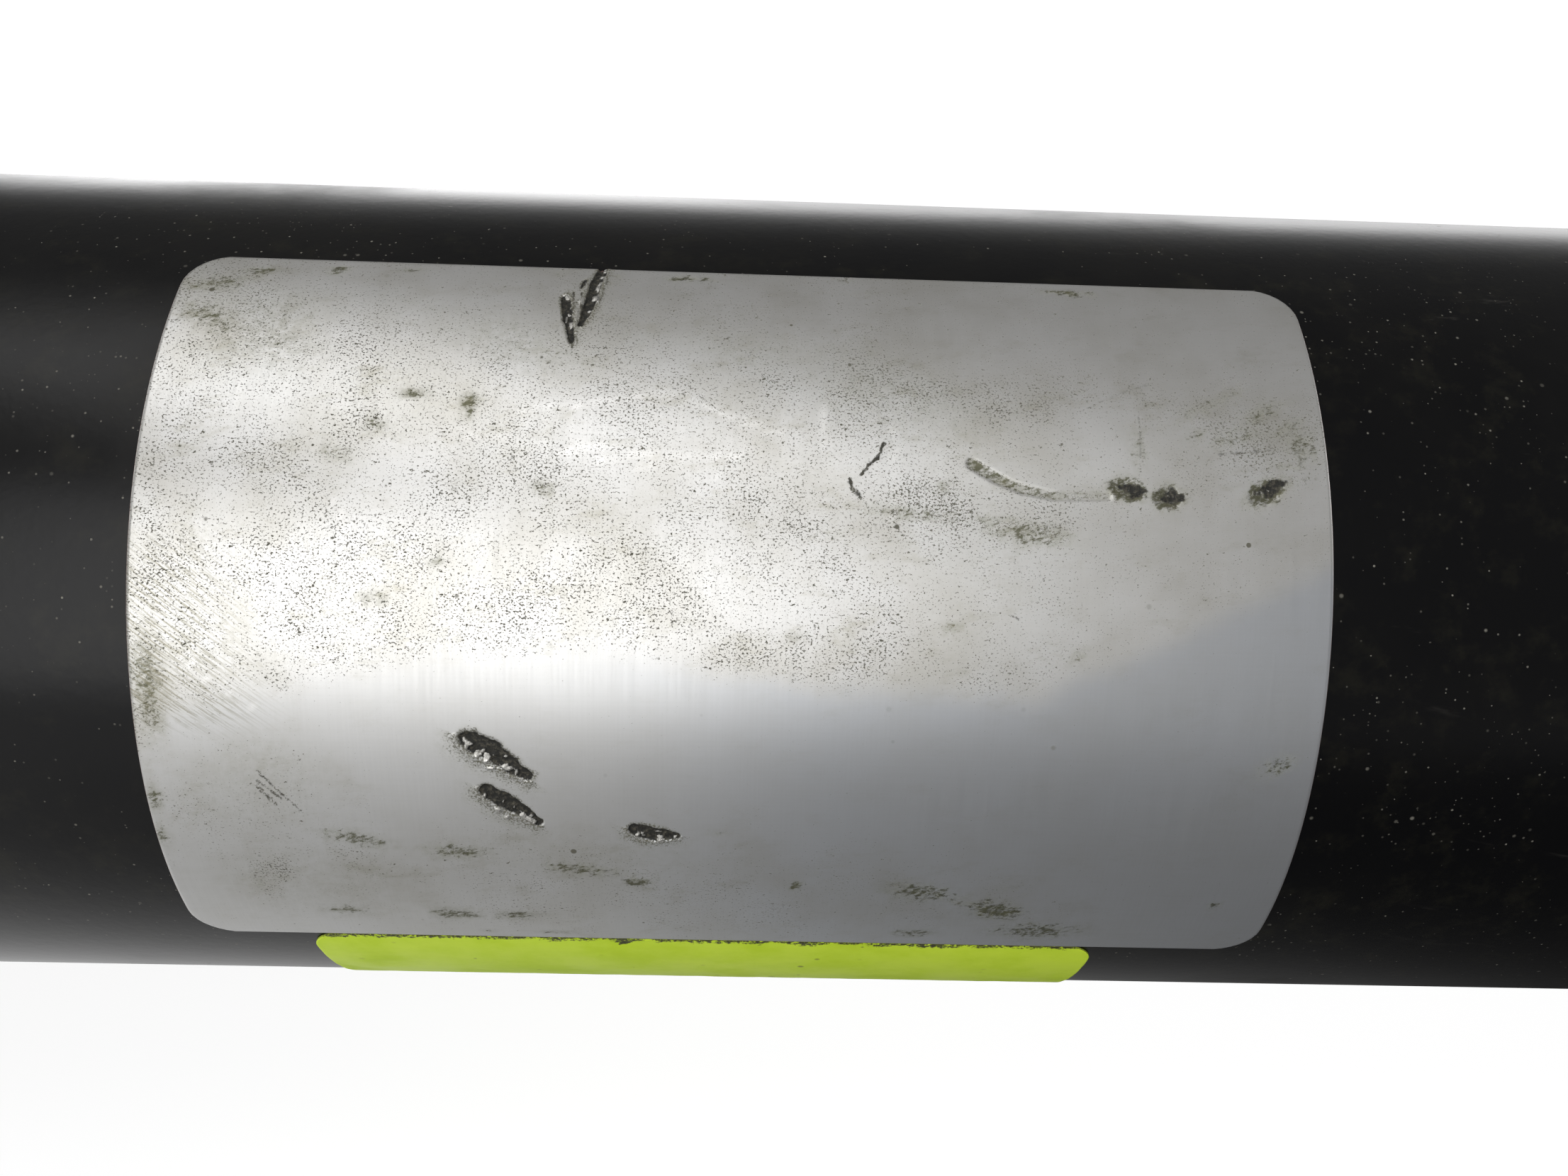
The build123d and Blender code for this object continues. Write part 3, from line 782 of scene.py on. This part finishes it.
# Rubbed marks, painted lighter as painted highlights: path, half width
rub_highlights = (
    (((-19.3, 18.4), (-12.3, 19.4), (-6.6, 20.6), (-2, 18.9), (3.3, 16.9)), 0.7),
    (((-14, 15.5), (-9.6, 14.9), (-7, 14.4), (0.4, 15)), 0.6), (((6.9, 19.6), (7.2, 15)), 0.4),
    (((-24, 16.4), (-8, 13.6)), 0.35), (((-8, 13.4), (0, 13.2)), 0.3), (((13.4, 22), (13, 10)), 0.3),
    (((-34, 10), (-30.5, 3.5)), 0.25), (((-47.5, -4), (-41.5, -0.6)), 0.3),
    (((-46.5, -3), (-40.5, -7.6)), 0.3),
)
# Oily smears: middle, half length, half height, tilt in degrees, strength
smears = (
    (-28.2, 19.7, 1.8, 0.6, -5, 0.8), (-23.3, 19, 0.9, 1.3, 10, 0.95), (-31, 16.8, 1.3, 0.9, -30, 0.6),
    (-34, 14.1, 1.8, 0.8, -10, 0.5), (-16.6, 11.5, 1.1, 0.7, 0, 0.6), (-25.2, 5.1, 0.8, 0.7, 0, 0.65),
    (-30.3, 2, 1.4, 0.7, 0, 0.55), (-47, 31.2, 3.2, 1.2, 10, 0.7), (-46.8, 27, 3.4, 1.6, -20, 0.65),
    (-44, 33, 2, 0.8, 0, 0.85), (-40.5, 24.6, 4.6, 1.2, -16, 0.55), (-37, 33.4, 1.3, 0.6, 5, 0.9),
    (-30.5, 33.8, 1.5, 0.4, 0, 0.7), (-5.3, 33.8, 3, 0.55, 0, 0.85), (8.9, 34.3, 1, 0.5, 0, 0.6),
    (9, 32.7, 4, 0.3, 0, 0.4), (29.6, 33.5, 2.9, 0.55, -2, 0.9), (-12, 33.8, 1.2, 0.4, 0, 0.5),
    (-17.2, 34, 0.8, 0.5, 0, 0.5), (24.5, 8.8, 4.5, 1.3, -8, 0.7), (14.5, 10.2, 4.4, 0.7, -5, 0.62),
    (21, 9.8, 1.6, 0.5, 0, 0.7), (17.2, 12.6, 0.7, 0.7, 0, 0.6), (28.8, -1.6, 1.4, 0.7, 40, 0.6),
    (18.1, 0.8, 1, 0.7, 0, 0.55), (4.9, -0.4, 0.9, 0.7, 0, 0.45), (42.6, 17.8, 3.4, 0.8, 18, 0.55),
    (45.4, 20.2, 3.4, 0.9, 34, 0.55), (40.5, 20.8, 4.4, 0.7, 30, 0.5), (39, 17.8, 1.4, 0.8, 20, 0.6),
    (45.4, 20.9, 2, 0.5, 45, 0.5), (47.4, 18.9, 1.8, 0.8, 30, 0.6), (48.5, 17.3, 1.7, 2, 20, 0.62),
    (46.8, 15.3, 2.6, 0.5, 4, 0.5), (34.1, 16.4, 1, 2.6, 0, 0.5), (-32.9, -20.4, 3.8, 1.1, -12, 0.75),
    (-24.2, -21.6, 3.8, 1, -4, 0.7), (-13.6, -23.6, 4.4, 0.9, -8, 0.75), (-8.5, -25.2, 1.8, 0.9, 0, 0.8),
    (-35.8, -30.2, 2.6, 0.9, 0, 0.7), (-25.8, -30.6, 2.8, 1.1, 0, 0.78), (-20, -30.6, 2.2, 0.7, 0, 0.75),
    (-23, -33.6, 0.8, 0.3, 0, 0.6), (-16.4, -33.9, 2.2, 0.35, 0, 0.7), (17.9, -25.9, 4.2, 1.6, -10, 0.75),
    (24.5, -28.4, 3.6, 1.7, -10, 0.85), (21.2, -27.2, 2.4, 0.8, -25, 0.6), (25.2, -25, 1.2, 0.5, 0, 0.4),
    (5.8, -25.2, 0.6, 0.8, 60, 1), (29, -31.8, 4.8, 1.8, 0, 0.75), (30.2, -31.6, 1, 2, 50, 0.9),
    (17.5, -32.6, 2.8, 1, 0, 0.75), (44.9, -27, 0.8, 0.5, 0, 0.95), (47.2, -10.8, 2.2, 1.2, 30, 0.6),
    (-1.4, -19, 1.4, 0.3, 0, 0.5), (-49, -6, 1.6, 5, 0, 0.7), (-49.8, -16.4, 0.9, 1.4, 0, 0.75),
    (-50, -20.5, 0.8, 1.6, 0, 0.7), (-41, -15, 7, 5, 20, 0.22), (-38, -26, 9, 5, 0, 0.2),
    (-14, -22, 14, 3, -4, 0.2), (13, 20.5, 8, 3.5, -12, 0.3), (2, 25.5, 12, 2, -4, 0.25),
    (-42, 26, 6, 5, 0, 0.4), (-20, 25, 7, 3, -20, 0.35),
)
# Dirtier patches: middle, half length, half height, strength
patches = (
    (18, 10.5, 20, 2.6, 0.3), (24, 21, 18, 3, 0.32), (44, 18, 8, 6, 0.4), (-42, -18, 12, 9, 0.5),
    (-8, -27, 38, 9, 0.55), (-45, 29, 9, 6, 0.25),
)
# Foot of the part of the face that has stayed dirty, and top of the darker, bluer painted reflection below
# it: places along the plate and their heights
dirty_foot = (
    (-50.5, -46.8, -36.1, -25.7, -11.2, 6.7, 25.6, 36, 44, 50.5),
    (-11, -7, -4.6, -2.4, -1.5, -4.1, -4.7, 0, 4.2, 7.2),
)


def plate_marks(us, vs):
    """Lift in millimetres and the fields of wear, painted shade and painted highlight of the data plate at
    places on its face.
    """
    fine, coarse, broad = ripple_of(us, vs, 0.35, 1), ripple_of(us, vs, 0.9, 2), ripple_of(us, vs, 4.5, 3)
    lift = np.zeros(us.shape)
    fields = {name: lift for name in ("cut", "torn", "grime", "smear", "rub_highlight")}

    def wear(name, strength):
        fields[name] = np.maximum(fields[name], strength)

    for path, half, depth, push in gouges:
        share, aside = beside(us, vs, path)
        width = half * (0.45 + 1.5 * (share + 0.08) ** 0.5 * np.clip(1.05 - share, 0, 1))
        off = np.abs(aside) + 0.22 * half * coarse + 0.12 * half * fine
        inside = ease(off, width, width * 0.55)
        pushed = ease(aside * push, -0.1 * width, 0.35 * width)
        length = hypot(path[-1][0] - path[0][0], path[-1][1] - path[0][1])
        ridges = ripple_of(share * length, 0.35 * aside, 0.55, 5)
        lumps = ease(0.4 * fine + 0.5 * coarse + ridges, 0.0, 0.3) * inside * pushed
        lip = ease(off, width * 1.7, width) * (1 - inside) * pushed
        lift = lift + (-depth * inside + 0.85 * depth * lumps + 0.05 * lip)
        wear("cut", inside)
        wear("torn", lumps)
        edge = width + np.where(aside * push > 0, 2.6, 0.6) * half
        near = ease(off + 0.5 * half * broad, edge, width * 0.9)
        wear("grime", 0.75 * near)
        wear("smear", 0.45 * near)
    for *oval, bright in chips:
        chip = ease(np.hypot(*over_oval(us, vs, *oval)) + 0.35 * fine, 1.0, 0.5) * bright
        lift = lift + 0.12 * chip
        wear("torn", chip)
    for *oval, depth in dents:
        along, across = over_oval(us, vs, *oval)
        reach = np.hypot(along, across) + 0.2 * coarse + 0.1 * fine
        pit = ease(reach, 1.05, 0.25)
        lift = lift - depth * pit
        dark = ease(np.hypot(along - 0.35, across - 0.1) + 0.35 * fine + 0.3 * coarse, 1.0, 0.3)
        wear("cut", 0.74 * dark)
        wear("grime", ease(reach, 1.4, 0.6) * (0.62 + 0.3 * ease(along, -0.5, 0.5)))
        wear("smear", 0.85 * ease(reach, 1.75, 0.7))
        wear("torn", ease(fine, 0.16, 0.3) * pit * 0.5)
    share, aside = beside(us, vs, drag_mark)
    drag = ease(np.abs(aside) + 0.08 * coarse, 0.66 - 0.15 * share, 0.3)
    lift = lift - 0.06 * drag
    wear("smear", drag * (0.85 - 0.4 * share))
    outline = ease(np.abs(np.abs(aside) - 0.45 * (1.15 - share)) + 0.12 * fine, 0.24, 0.0)
    wear("grime", np.maximum(outline, 0.45 * drag) * (0.8 - 0.3 * share))
    for path, half, depth in dark_scratches:
        off = np.abs(beside(us, vs, path)[1])
        line = ease(off + half * (0.8 * fine + 0.5 * coarse), half * 1.6, half * 0.4) * depth
        wear("grime", line)
        wear("cut", line * 0.45)
    # Rubbed marks painted lighter: painted highlights along them.
    for path, half in rub_highlights:
        line = ease(np.abs(beside(us, vs, path)[1] + 0.3 * coarse), half, 0.0)
        wear("rub_highlight", line * (0.2 + 0.4 * ease(fine + coarse, -0.3, 0.5)))
    for *oval, strength in smears:
        reach = np.hypot(*over_oval(us, vs, *oval)) + 0.35 * coarse + 0.2 * broad
        wear("smear", strength * ease(reach, 1.35, 0.3))
    # Below the dirty part the face carries less dirt and a darker, bluer tint, which is a painted
    # reflection.
    cleaner_and_painted_shade = ease(np.interp(us, *dirty_foot) - vs + 0.7 * broad + 0.3 * coarse, -0.9, 2.2)
    dirty = (1 - cleaner_and_painted_shade) * (0.66 + 0.34 * ease(us, 40, 4)) * (0.78 + 0.22 * ease(vs, 33, 20)) + 0.24 * cleaner_and_painted_shade
    for *oval, strength in patches:
        far = np.hypot(*over_oval(us, vs, *oval)) + 0.5 * broad + 0.3 * coarse
        dirty = dirty + strength * ease(far, 1.3, 0.3)
    left_edge = 0.6 * ease(us, -44, -49) * ease(np.abs(vs + 2), 16, 8)
    fields["dirty"] = np.minimum(np.maximum(dirty, left_edge), 1.15)
    # The tint grows stronger towards the right as painted shade.
    fields["cleaner_and_painted_shade"] = cleaner_and_painted_shade * (0.2 + 0.8 * ease(us, -18, 12))
    fields["hatch"] = ease(us + 0.2 * vs, -38, -47) * ease(vs, -11, -7) * ease(vs, 9, 3)
    return lift, fields


def wrap_on_shell(work, middle_x, middle_angle, thickness, marks):
    """Wraps a flat sheet in millimetres round the shell, with its marks."""
    flat = np.array([vertex.co for vertex in work.verts])
    lift, fields = marks(flat[:, 0], flat[:, 1])
    fields["rim"] = flat[:, 2] < -0.1 * thickness
    lift = np.where(flat[:, 2] < -0.5 * thickness, 0, np.maximum(lift, -0.92 * thickness))
    layers = {name: work.verts.layers.float.new(name) for name in fields}
    base = shell_radius + (adhesive_film + thickness) * mm
    for k, vertex in enumerate(work.verts):
        for name, layer in layers.items():
            vertex[layer] = float(fields[name][k])
        angle = middle_angle + flat[k, 1] * mm / shell_radius
        radius = base + (flat[k, 2] + lift[k]) * mm
        x = middle_x + flat[k, 0] * mm
        vertex.co = (x, -radius * cos(angle), axis_height + radius * sin(angle))
    bmesh.ops.recalc_face_normals(work, faces=work.faces)
    return work


def near_marks(us, vs):
    """Whether places lie close to a gouge, dent, scratch or drag mark."""
    close = np.zeros(us.shape, bool)
    lines = [(path, half * 1.9 + 0.5) for path, half, *rest in gouges]
    lines += [(path, half + 0.5) for path, half, *rest in dark_scratches]
    lines += [(((u - 0.8, v), (u + 0.8, v)), 1.6) for u, v, *rest in dents]
    for path, reach in lines + [(drag_mark, 0.9)]:
        close |= np.abs(beside(us, vs, path)[1]) < reach
    return close


def parts_of(place):
    """The three coordinates of a place."""
    split = put(place.tree, "ShaderNodeSeparateXYZ", {"Vector": place})
    return [Field(split, k) for k in range(3)]


def unrolled(place, middle_angle):
    """Place on the shell's skin laid flat: along it, and round it from an angle."""
    x, y, z = parts_of(place)
    turn = (z - axis_height).sums("ARCTAN2", y * -1.0) - middle_angle
    return Field(put(place.tree, "ShaderNodeCombineXYZ", {"X": x, "Y": turn * shell_radius}))


def worn(place, name):
    """Wear field that a mesh carries, for the tree of a place."""
    return Field(put(place.tree, "ShaderNodeAttribute", attribute_name=name), "Fac")


def make_plate_metal():
    """Satin aluminium with rolled streaks, dirt specks, oily smears, torn gouges, painted highlights on its
    rubbed marks, and a painted reflection and shade low down, darker to the right.
    """
    material, shader, place = start_finish("plate_metal")
    face = unrolled(place, plate_angle)
    dirty, smeared, cut = worn(place, "dirty"), worn(place, "smear"), worn(place, "cut")
    streaks = grain(face, 4500, 2, 0.5, (1, 50, 1))
    cross = grain(face, 4500, 2, 0.5, (50, 1, 1))
    cloud = rise(grain(face, 90, 5, 0.6), 0.35, 0.7)
    mottle = rise(grain(face, 1300, 5, 0.7), 0.35, 0.65)
    smear = smeared * (mottle * 0.5 + 0.1)
    strokes = grain(face, 2400, 5, 0.75, (1.7, 1, 1), (0, 0, radians(18)))
    flecks = rise(smeared * 0.36 + strokes, 0.68, 0.84) * rise(smeared, 0.05, 0.3)
    hatch_lines = grain(face, 5200, 4, 0.7, (18, 1, 1), (0, 0, radians(-36)))
    hatch = worn(place, "hatch") * rise(hatch_lines, 0.45, 0.62, 0, 0.7)
    patchy = rise(grain(face, 130, 6, 0.72), 0.3, 0.7)
    amount = dirty * (patchy * 0.46 + 0.56)
    smudge = rise(grain(face, 330, 6, 0.78, (2.2, 1, 1), (0, 0, radians(8))), 0.5, 0.75)
    dots = (grain(face, 5600, 3, 0.68, (1.2, 1, 1)) - (amount * -0.2 + 0.743)) * 40.0
    dots = Field(put(face.tree, "ShaderNodeClamp", {"Value": dots}))
    blobs = grain(face, 2500, 3, 0.65, (1.5, 1, 1), (0, 0, radians(12)))
    blobs = rise(blobs - (amount ** 0.5 * -0.18 + 0.795), 0.0, 0.05)
    speck = larger(dots, blobs) + specks(face, 330, 0.09, 0.5) * (dirty * 3.0)
    speck = speck.sums("MINIMUM", 1.0)
    grit = grain(face, 5200, 4, 0.7) - (worn(place, "grime") * -0.42 + 0.78)
    grit = rise(grit, -0.06, 0.1)
    hole = rise(mottle * 0.3 + cut, 0.3, 0.75)
    lining = rise(grain(face, 2600, 4, 0.7), 0.45, 0.75)
    lining = blend_colours(lining, (0.008, 0.0075, 0.005), (0.1, 0.09, 0.065))
    torn = rise(mottle * 0.5 + worn(place, "torn"), 0.6, 0.95)
    rim = rise(worn(place, "rim"), 0.45, 0.95)
    colour = layered((0.6, 0.595, 0.58),
                     # Darker, bluer tint low on the face: painted reflection, turning to painted shade
                     # towards the right.
                     (worn(place, "cleaner_and_painted_shade"), (0.505, 0.52, 0.542)),
                     (rise(streaks + cross, 0.8, 1.2, 0, 0.04), (0.3, 0.3, 0.29)),
                     (dirty * cloud * 0.42, (0.36, 0.34, 0.28)),
                     (smear, (0.15, 0.15, 0.06)),
                     (flecks * 0.85, (0.07, 0.07, 0.026)),
                     (hatch, (0.2, 0.185, 0.12)),
                     # Painted highlights along the rubbed marks.
                     (worn(place, "rub_highlight"), (0.78, 0.77, 0.75)),
                     (smudge * amount * 0.5, (0.24, 0.22, 0.13)),
                     (speck * 0.92, (0.075, 0.07, 0.045)),
                     (grit * 0.85, (0.07, 0.065, 0.035)),
                     (hole, lining),
                     (torn, (0.5, 0.49, 0.46)),
                     (rim * 0.85, (0.36, 0.22, 0.2)))
    dull = larger(speck, grit, hole, smear, rim)
    fill(shader, {"Base Color": colour, "Metallic": larger(rise(dull, 0, 1, 0.75, 0.0), torn),
                  "Roughness": streaks * 0.1 + 0.34 + dull * 0.3 - torn * 0.2})
    ragged = rise(cut, 0.2, 0.6) * mottle * 5.0
    emboss(shader, streaks * 0.08 + speck * 0.5 + ragged, 0.00002, 0.5)
    return material


plate_metal = make_plate_metal()
work = flat_sheet(sheet_rows(plate_length, plate_height, plate_corner), plate_thickness)
middles = np.array([face.calc_center_median() for face in work.faces])
chosen = near_marks(middles[:, 0], middles[:, 1]) & (middles[:, 2] > -0.2 * plate_thickness)
close_edges = {edge for face, taken in zip(work.faces, chosen) if taken for edge in face.edges}
bmesh.ops.subdivide_edges(work, edges=list(close_edges), cuts=close_cuts, use_grid_fill=True)
wrap_on_shell(work, 0, plate_angle, plate_thickness, plate_marks)
settle(work, "data_plate_worn", plate_metal, "plate_metal", "data_plate", sharp=60)


# Sticker: fluorescent yellow-green vinyl below the data plate, stuck round the shell. It is plain.
# Its upper edge is dirty and frayed, with a small nick.
sticker_length = 76.2
sticker_height = 50.8
sticker_thickness = 0.2
sticker_corner = 3.2
sticker_gap = 0.3
sticker_x = -0.0024
nick_u = -8.2
angle_apart = (plate_height / 2 + sticker_gap + sticker_height / 2) * mm / shell_radius
sticker_angle = plate_angle - angle_apart


def sticker_marks(us, vs):
    """Lift and the wear fields of the sticker at places on its face."""
    fine, coarse = ripple_of(us, vs, 0.5, 7), ripple_of(us, vs, 2.2, 8)
    to_top = sticker_height / 2 - vs
    grime = ease(to_top + 0.8 * coarse + 0.3 * fine, 1.6, 0.1) * 0.9
    nick = ease(np.hypot(*over_oval(us, to_top, nick_u, 0.9, 0.9, 1.1)) + 0.3 * fine, 1.0, 0.5)
    return -0.1 * nick + 0.03 * coarse, {"grime": np.maximum(grime, nick)}


def make_vinyl():
    """Fluorescent vinyl with faint mottling, handling marks and dirt along its upper edge."""
    material, shader, place = start_finish("yellow_vinyl", Specular_IOR_Level=0.2)
    face = unrolled(place, sticker_angle)
    cloud = rise(grain(face, 120, 5, 0.6), 0.35, 0.7)
    speck = larger(specks(face, 700, 0.3, 0.1), specks(face, 260, 0.14, 0.12))
    grit = rise(worn(place, "grime") * 0.5 + grain(face, 2200, 5, 0.75), 0.82, 0.96)
    rim = rise(worn(place, "rim"), 0.5, 0.95)
    colour = layered((0.76, 1.0, 0.05), (cloud, (0.65, 0.89, 0.035)), (speck * 0.7, (0.12, 0.13, 0.03)),
                     (grit, (0.05, 0.05, 0.02)), (rim * 0.7, (0.2, 0.22, 0.05)))
    fill(shader, {"Base Color": colour, "Roughness": rise(cloud, 0, 1, 0.42, 0.55)})
    emboss(shader, grain(face, 1500, 3), 0.00002, 0.5)
    return material


yellow_vinyl = make_vinyl()
work = flat_sheet(sheet_rows(sticker_length, sticker_height, sticker_corner), sticker_thickness)
wrap_on_shell(work, sticker_x, sticker_angle, sticker_thickness, sticker_marks)
settle(work, "plain_sticker_wrapped", yellow_vinyl, "yellow_vinyl", "plain_sticker", sharp=60)


# Stage: a white floor and soft studio light, with the camera close to the data plate. The floor and the
# world are white to the camera. In reflections the floor glows as painted light behind, on the window side
# to the left and far to the right, and its colour is painted darker to the right as painted shade.
floor_half = 6.0
floor_top = -0.0001
world_light = 0.17


def start_stage(owner):
    """Empty tree of the floor or world, its camera rays, and its rays by way of gloss or glass."""
    owner.use_nodes = True
    owner.node_tree.nodes.clear()
    rays = put(owner.node_tree, "ShaderNodeLightPath")
    camera, glossy, glass = (Field(rays, f"Is {kind} Ray") for kind in ("Camera", "Glossy", "Transmission"))
    return owner.node_tree, camera, larger(glossy, glass)


floor_material = bpy.data.materials.new("floor_white")
tree, seen, mirrored = start_stage(floor_material)
place = Field(put(tree, "ShaderNodeTexCoord"), "Object")
x, y = parts_of(place)[:2]
distance = Field(put(tree, "ShaderNodeVectorMath", {0: place}, operation="LENGTH"), "Value")
# Painted light on the floor: to reflected rays it glows on the window side, behind and far to the right, and
# its colour darkens towards the right as painted shade. To the camera it stays white.
window_side = rise(x, 0.16, -0.3)
pale = rise(window_side, 0, 1, seen * 0.18 + 0.06, 0.42)
shown = seen * (1.13 - pale * rise(distance, 0.3, 2.0, 0.92, 0.1))
far_glow = larger(rise(x, 0.7, 1.1, 0, 0.7), rise(y, 0.1, 0.35, 0, 1.4))
mirror_glow = window_side * rise(y, -0.12, 0.0, 0.42, 1.5) + far_glow
white = put(tree, "ShaderNodeCombineColor", {0: pale, 1: pale, 2: pale})
matt = put(tree, "ShaderNodeBsdfDiffuse", {"Color": white})
glow = put(tree, "ShaderNodeEmission", {"Strength": larger(shown, mirrored * mirror_glow)})
both = put(tree, "ShaderNodeAddShader", {0: matt, 1: glow})
put(tree, "ShaderNodeOutputMaterial", {"Surface": both})
corners = [(floor_half * i, floor_half * j, floor_top) for i, j in ((-1, -1), (1, -1), (1, 1), (-1, 1))]
floor = add_object("floor", drawn("floor", corners, faces=[(0, 1, 2, 3)]))
floor.data.materials.append(floor_material)

world = bpy.data.worlds.new("studio")
bpy.context.scene.world = world
tree, seen, mirrored = start_stage(world)
height = parts_of(Field(put(tree, "ShaderNodeTexCoord"), "Generated"))[2]
shown = larger(seen, mirrored * rise(height, 0.35, 0.1, 0, 0.05))
dim, bright = (put(tree, "ShaderNodeBackground", {"Color": (1, 1, 1, 1), "Strength": strength})
               for strength in (world_light, 1.0))
mixed = put(tree, "ShaderNodeMixShader", {0: shown, 1: dim, 2: bright})
put(tree, "ShaderNodeOutputWorld", {"Surface": mixed})

# Lamps: name, place, the x on the shell's axis that it faces, length and height, power
lamps = (
    ("window", (-0.3, -0.87, 0.54), -0.03, (0.85, 0.86), 6.8),
    ("top", (-0.3, -0.24, 1.22), -0.05, (1.3, 0.5), 5.2),
    ("left_end", (-1.5, 0.25, 0.42), 0, (0.8, 0.6), 3.2),
    ("right_end", (1.5, 0.2, 0.42), 0, (0.8, 0.6), 5.5),
    ("low_back", (0.1, 1.5, 0.2), 0, (2.4, 0.3), 6.0),
)
for name, place, target_x, size, power in lamps:
    softbox = bpy.data.lights.new(name, "AREA")
    softbox.shape = "RECTANGLE"
    softbox.size, softbox.size_y = size
    softbox.energy = power
    lamp = add_object(name, softbox)
    lamp.location = place
    facing = Vector((target_x, 0, axis_height)) - Vector(place)
    lamp.rotation_euler = facing.to_track_quat("-Z", "Y").to_euler()

camera_distance = 0.1468
camera_x = 0.00106
camera_elevation = radians(34.72)
yaw, pitch, roll = -0.0274, 0.0002, 0.0262
optics = bpy.data.cameras.new("camera")
optics.sensor_width = 36
optics.lens = 27.97
optics.clip_start = 0.01
camera = add_object("camera", optics)
bpy.context.scene.camera = camera
pose = Matrix.Translation((camera_x, 0, axis_height)) @ Matrix.Rotation(-camera_elevation, 4, "X")
pose @= Matrix.Translation((0, -camera_distance, 0))
for turn, axis in ((yaw, "Z"), (pitch + pi / 2, "X"), (roll, "Z")):
    pose @= Matrix.Rotation(turn, 4, axis)
camera.matrix_world = pose

bpy.context.scene.view_settings.view_transform = "Standard"
